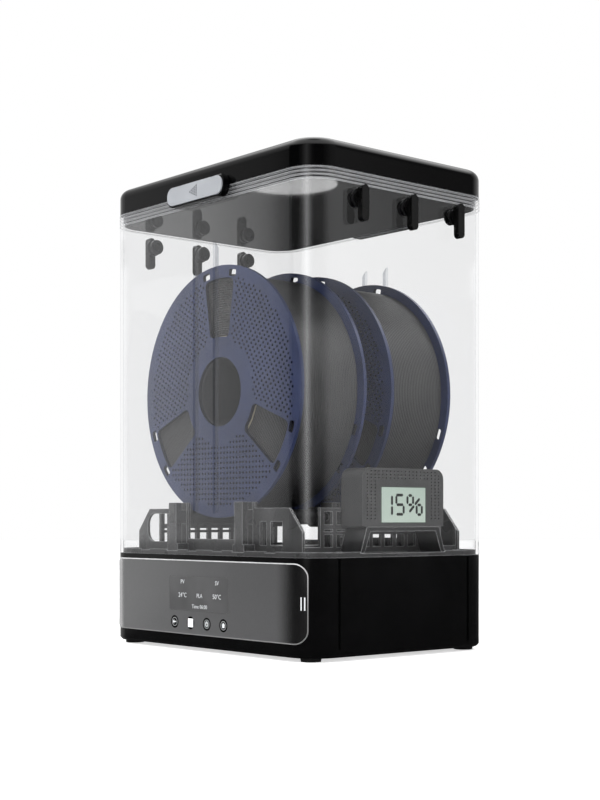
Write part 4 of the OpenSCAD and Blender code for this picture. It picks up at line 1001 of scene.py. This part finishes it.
def screen_digits():
    """Black segments on the screen: a one, a five and a per cent sign."""
    (_, y0, z0), (x, _, _) = SCREEN

    def place(u, v, d):
        return (x + d, y0 + u * MM, z0 + v * MM)

    def segment(u0, v0, u1, v1):
        """Stroke with pointed ends."""
        w = 2.1
        along = math.hypot(u1 - u0, v1 - v0)
        tx, ty = (u1 - u0) / along, (v1 - v0) / along
        nx, ny = -ty * w / 2, tx * w / 2
        tip = w * 0.42
        outline = [(u0, v0), (u0 + tx * tip - nx, v0 + ty * tip - ny),
                   (u1 - tx * tip - nx, v1 - ty * tip - ny), (u1, v1),
                   (u1 - tx * tip + nx, v1 - ty * tip + ny),
                   (u0 + tx * tip + nx, v0 + ty * tip + ny)]
        return prism(outline, place, MARK_T)

    strokes = [(11.3, 5.9, 11.3, 12.9), (11.3, 13.4, 11.3, 20.8),
               (15.6, 21.2, 23.2, 21.2), (15.9, 14.4, 15.9, 20.8), (16.0, 13.9, 23.4, 13.9),
               (23.6, 6.9, 23.6, 13.4), (15.8, 6.6, 23.2, 6.6),
               (28.6, 21.0, 32.8, 21.0), (28.6, 13.9, 32.8, 13.9), (27.7, 14.3, 27.7, 20.6),
               (33.7, 14.3, 33.7, 20.6), (41.0, 18.9, 35.4, 13.9), (35.0, 13.3, 29.6, 8.2),
               (38.3, 13.8, 42.6, 13.8), (38.3, 6.4, 42.6, 6.4), (37.6, 6.8, 37.6, 13.4),
               (43.2, 6.8, 43.2, 13.4)]
    piece("screen_digits", *gather([segment(*s) for s in strokes]), "hygrometer", SEGMENT,
          "matte_black")


screen_digits()


def screen_border():
    """Thin dark line round the screen."""
    (_, y0, z0), (x, y1, z1) = SCREEN
    w, lift = 0.45 * MM, 0.05 * MM
    strips = [((y0, z0), (y1, z0 + w)), ((y0, z1 - w), (y1, z1)),
              ((y0, z0 + w), (y0 + w, z1 - w)), ((y1 - w, z0 + w), (y1, z1 - w))]
    parts = [prism([(ya, za), (yb, za), (yb, zb), (ya, zb)],
                   lambda u, v, d: (x + d, u, v), lift)
             for (ya, za), (yb, zb) in strips]
    piece("screen_border", *gather(parts), "hygrometer", BORDER_GREEN, "screen_green")


screen_border()


# ---- Latch marks: a triangle of dots that points towards the panel's left ----

DOT_R, DOT_PITCH, DOT_ROWS, DOT_MIDDLE = 0.66 * MM, (2.1 * MM, 1.95 * MM), 5, 2.4


def latch_dots(body, face_node, sign):
    low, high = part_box(face_node)
    face_y = low.y if sign < 0 else high.y
    cz = (low.z + high.z) / 2
    dots = []
    for row in range(DOT_ROWS):
        for k in range(row + 1):
            u = (row - DOT_MIDDLE) * DOT_PITCH[0]
            v = (k - row / 2) * DOT_PITCH[1]
            place = (lambda a, b, d, u=u, v=v: (-sign * (u + a), face_y + sign * d, cz + v + b))
            dots.append(prism(arc(0, 0, DOT_R, 0, 360, 10)[:-1], place, MARK_T))
    piece(f"{face_node}_dots", *gather(dots), body, BLACK_SATIN, "matte_black")


latch_dots("latch_front", "latch_front_face", -1)
latch_dots("latch_rear", "latch_rear_face", 1)


# ---- Stage, light and camera ----

# Brightness of the room by compass direction, in degrees from +X towards +Y: the pale side
# behind the box, dark sides, and a tall soft light before its near corner
ROOM = ((0, 0.20), (9, 0.35), (21, 0.55), (42, 0.60), (44.5, 0.35), (48, 0.20), (56, 0.16),
        (72, 0.9), (80, 1.0), (213, 1.0), (215.5, 0.82), (218, 0.60), (219.7, 0.50),
        (220.3, 0.05), (231, 0.0), (262, 0.0), (275, 0.35), (284, 1.1), (293, 2.0),
        (302, 1.0), (312, 0.25), (322, 0.05), (350, 0.05), (360, 0.20))
# The same for the floor, as polished pieces mirror it
FLOOR = ((0, 0.04), (60, 0.05), (130, 0.10), (137, 0.07), (139.3, 0.0), (140.3, 0.0),
         (141, 0.17), (146, 0.42), (160, 0.50), (213, 0.50), (221, 0.06), (300, 0.03),
         (360, 0.04))
# A round pool of light on the floor, seen only in glossy reflections: the lid's underside
POOL, POOL_R, POOL_LEVEL = (-1.091, 0.915, 0.0), 0.086, 1.7
FLOOR_R, FLOOR_FILL = 6.0, 0.62
# Name, place, aim, size and power of each lamp
LAMPS = (("key", (-1.1, -1.5, 1.3), (0, 0, 0.2), (1.2, 1.2), 26),
         ("fill", (1.7, -0.4, 0.9), (0, 0, 0.2), (1.0, 1.0), 10),
         ("top", (0.1, 0.2, 1.7), (0, 0, 0.3), (0.9, 0.9), 16))
# The camera as fitted to the photo: pixels of an 800 px high frame, metres and degrees
FRAME_PX, FOCAL_PX, HORIZON_PX, SENSOR_MM = 800, 1471.12, 518.91, 36
EYE, HEADING = (0.92812, -0.78810, 0.1046), 49.45


def room_level(nodes, link, direction, stated):
    """Brightness in a direction, read off a list of (degrees, level)."""
    x, y, _ = split_xyz(nodes, link, direction)
    angle = math_node(nodes, link, "ARCTAN2", y, x)
    turn = math_node(nodes, link, "FRACT",
                     math_node(nodes, link, "ADD",
                               math_node(nodes, link, "DIVIDE", angle, 2 * math.pi), 1.0))
    ramp = nodes.new("ShaderNodeValToRGB")
    stops = ramp.color_ramp.elements
    for i, (degrees, level) in enumerate(stated):
        stop = stops[i] if i < 2 else stops.new(degrees / 360)
        stop.position = degrees / 360
        stop.color = (level / 2, level / 2, level / 2, 1)
    link(turn, ramp.inputs[0])
    return math_node(nodes, link, "MULTIPLY", ramp.outputs[0], 2.0)


def make_world():
    world = bpy.data.worlds.new("studio")
    SCENE.world = world
    world.use_nodes = True
    nodes, link = world.node_tree.nodes, world.node_tree.links.new
    nodes.clear()
    direction = nodes.new("ShaderNodeTexCoord").outputs["Generated"]
    path = nodes.new("ShaderNodeLightPath")
    level = room_level(nodes, link, direction, ROOM)
    height = split_xyz(nodes, link, direction)[2]
    overhead = value_at(nodes, link, height, 0.50, 0.75, 0.0, 4.0, smooth=True)
    zenith = value_at(nodes, link, height, 0.96, 1.0, 1.0, 0.3, smooth=True)
    overhead = math_node(nodes, link, "MULTIPLY", overhead, zenith)
    seen = math_node(nodes, link, "MAXIMUM", level, overhead)
    plain = math_node(nodes, link, "MAXIMUM", path.outputs["Is Camera Ray"],
                      path.outputs["Is Transmission Ray"])
    lit = mix_colour(nodes, link, path.outputs["Is Glossy Ray"], (0.70, 0.70, 0.70), seen)
    colour = mix_colour(nodes, link, plain, lit, (1, 1, 1))
    back = nodes.new("ShaderNodeBackground")
    link(colour, back.inputs["Color"])
    link(back.outputs[0], nodes.new("ShaderNodeOutputWorld").inputs[0])


def make_floor():
    """Pale floor that keeps the shadow, and shows as the pale backdrop to the camera."""
    mat, nodes, link = new_material("floor_pale")
    path = nodes.new("ShaderNodeLightPath")
    place = nodes.new("ShaderNodeNewGeometry").outputs["Position"]
    diffuse = nodes.new("ShaderNodeBsdfDiffuse")
    grain = noise(nodes, link, place, 6, 2.0)
    link(mix_colour(nodes, link, grain, (0.80, 0.80, 0.80), (0.82, 0.82, 0.82)),
         diffuse.inputs["Color"])
    fill = nodes.new("ShaderNodeEmission")
    link(math_node(nodes, link, "MULTIPLY", path.outputs["Is Camera Ray"], FLOOR_FILL),
         fill.inputs["Strength"])
    both = nodes.new("ShaderNodeAddShader")
    link(diffuse.outputs[0], both.inputs[0])
    link(fill.outputs[0], both.inputs[1])
    mirrored = nodes.new("ShaderNodeEmission")
    from_pool = nodes.new("ShaderNodeVectorMath")
    from_pool.operation = "DISTANCE"
    link(place, from_pool.inputs[0])
    from_pool.inputs[1].default_value = POOL
    pool = value_at(nodes, link, from_pool.outputs["Value"], POOL_R * 0.97, POOL_R * 1.03,
                    POOL_LEVEL, 0.0, smooth=True)
    link(math_node(nodes, link, "ADD", room_level(nodes, link, place, FLOOR), pool),
         mirrored.inputs["Strength"])
    finished(mat, mix_shader(nodes, link, path.outputs["Is Glossy Ray"], both, mirrored))
    rings, sides = 5, 48
    verts, faces = [(0, 0, 0)], []
    for ring in range(1, rings + 1):
        for i in range(sides):
            a, r = 2 * math.pi * i / sides, FLOOR_R * ring / rings
            verts.append((r * math.cos(a), r * math.sin(a), 0))
    for i in range(sides):
        j = (i + 1) % sides
        faces.append([0, 1 + i, 1 + j])
        for ring in range(rings - 1):
            a, b = 1 + ring * sides, 1 + (ring + 1) * sides
            faces.append([a + i, b + i, b + j, a + j])
    mesh = bpy.data.meshes.new("floor")
    mesh.from_pydata(verts, [], faces)
    mesh.materials.append(mat)
    floor = add("floor", mesh)


def area_light(name, place, aim, size, power):
    data = bpy.data.lights.new(name, "AREA")
    data.shape = "RECTANGLE"
    data.size, data.size_y = size
    data.energy = power
    lamp = add(name, data)
    lamp.location = place
    lamp.rotation_mode = "QUATERNION"
    lamp.rotation_quaternion = (Vector(aim) - Vector(place)).to_track_quat("-Z", "Y")
    lamp.visible_camera = False
    lamp.visible_glossy = False


def make_camera():
    data = bpy.data.cameras.new("camera")
    data.sensor_width = SENSOR_MM
    data.lens = FOCAL_PX * SENSOR_MM / FRAME_PX
    data.shift_y = (HORIZON_PX - FRAME_PX / 2) / FRAME_PX
    data.clip_start, data.clip_end = 0.01, 50
    camera = add("camera", data)
    camera.location = EYE
    camera.rotation_euler = (math.radians(90), 0, math.radians(HEADING))
    SCENE.camera = camera


make_world()
make_floor()
for lamp in LAMPS:
    area_light(*lamp)
make_camera()
SCENE.view_settings.view_transform = "Standard"
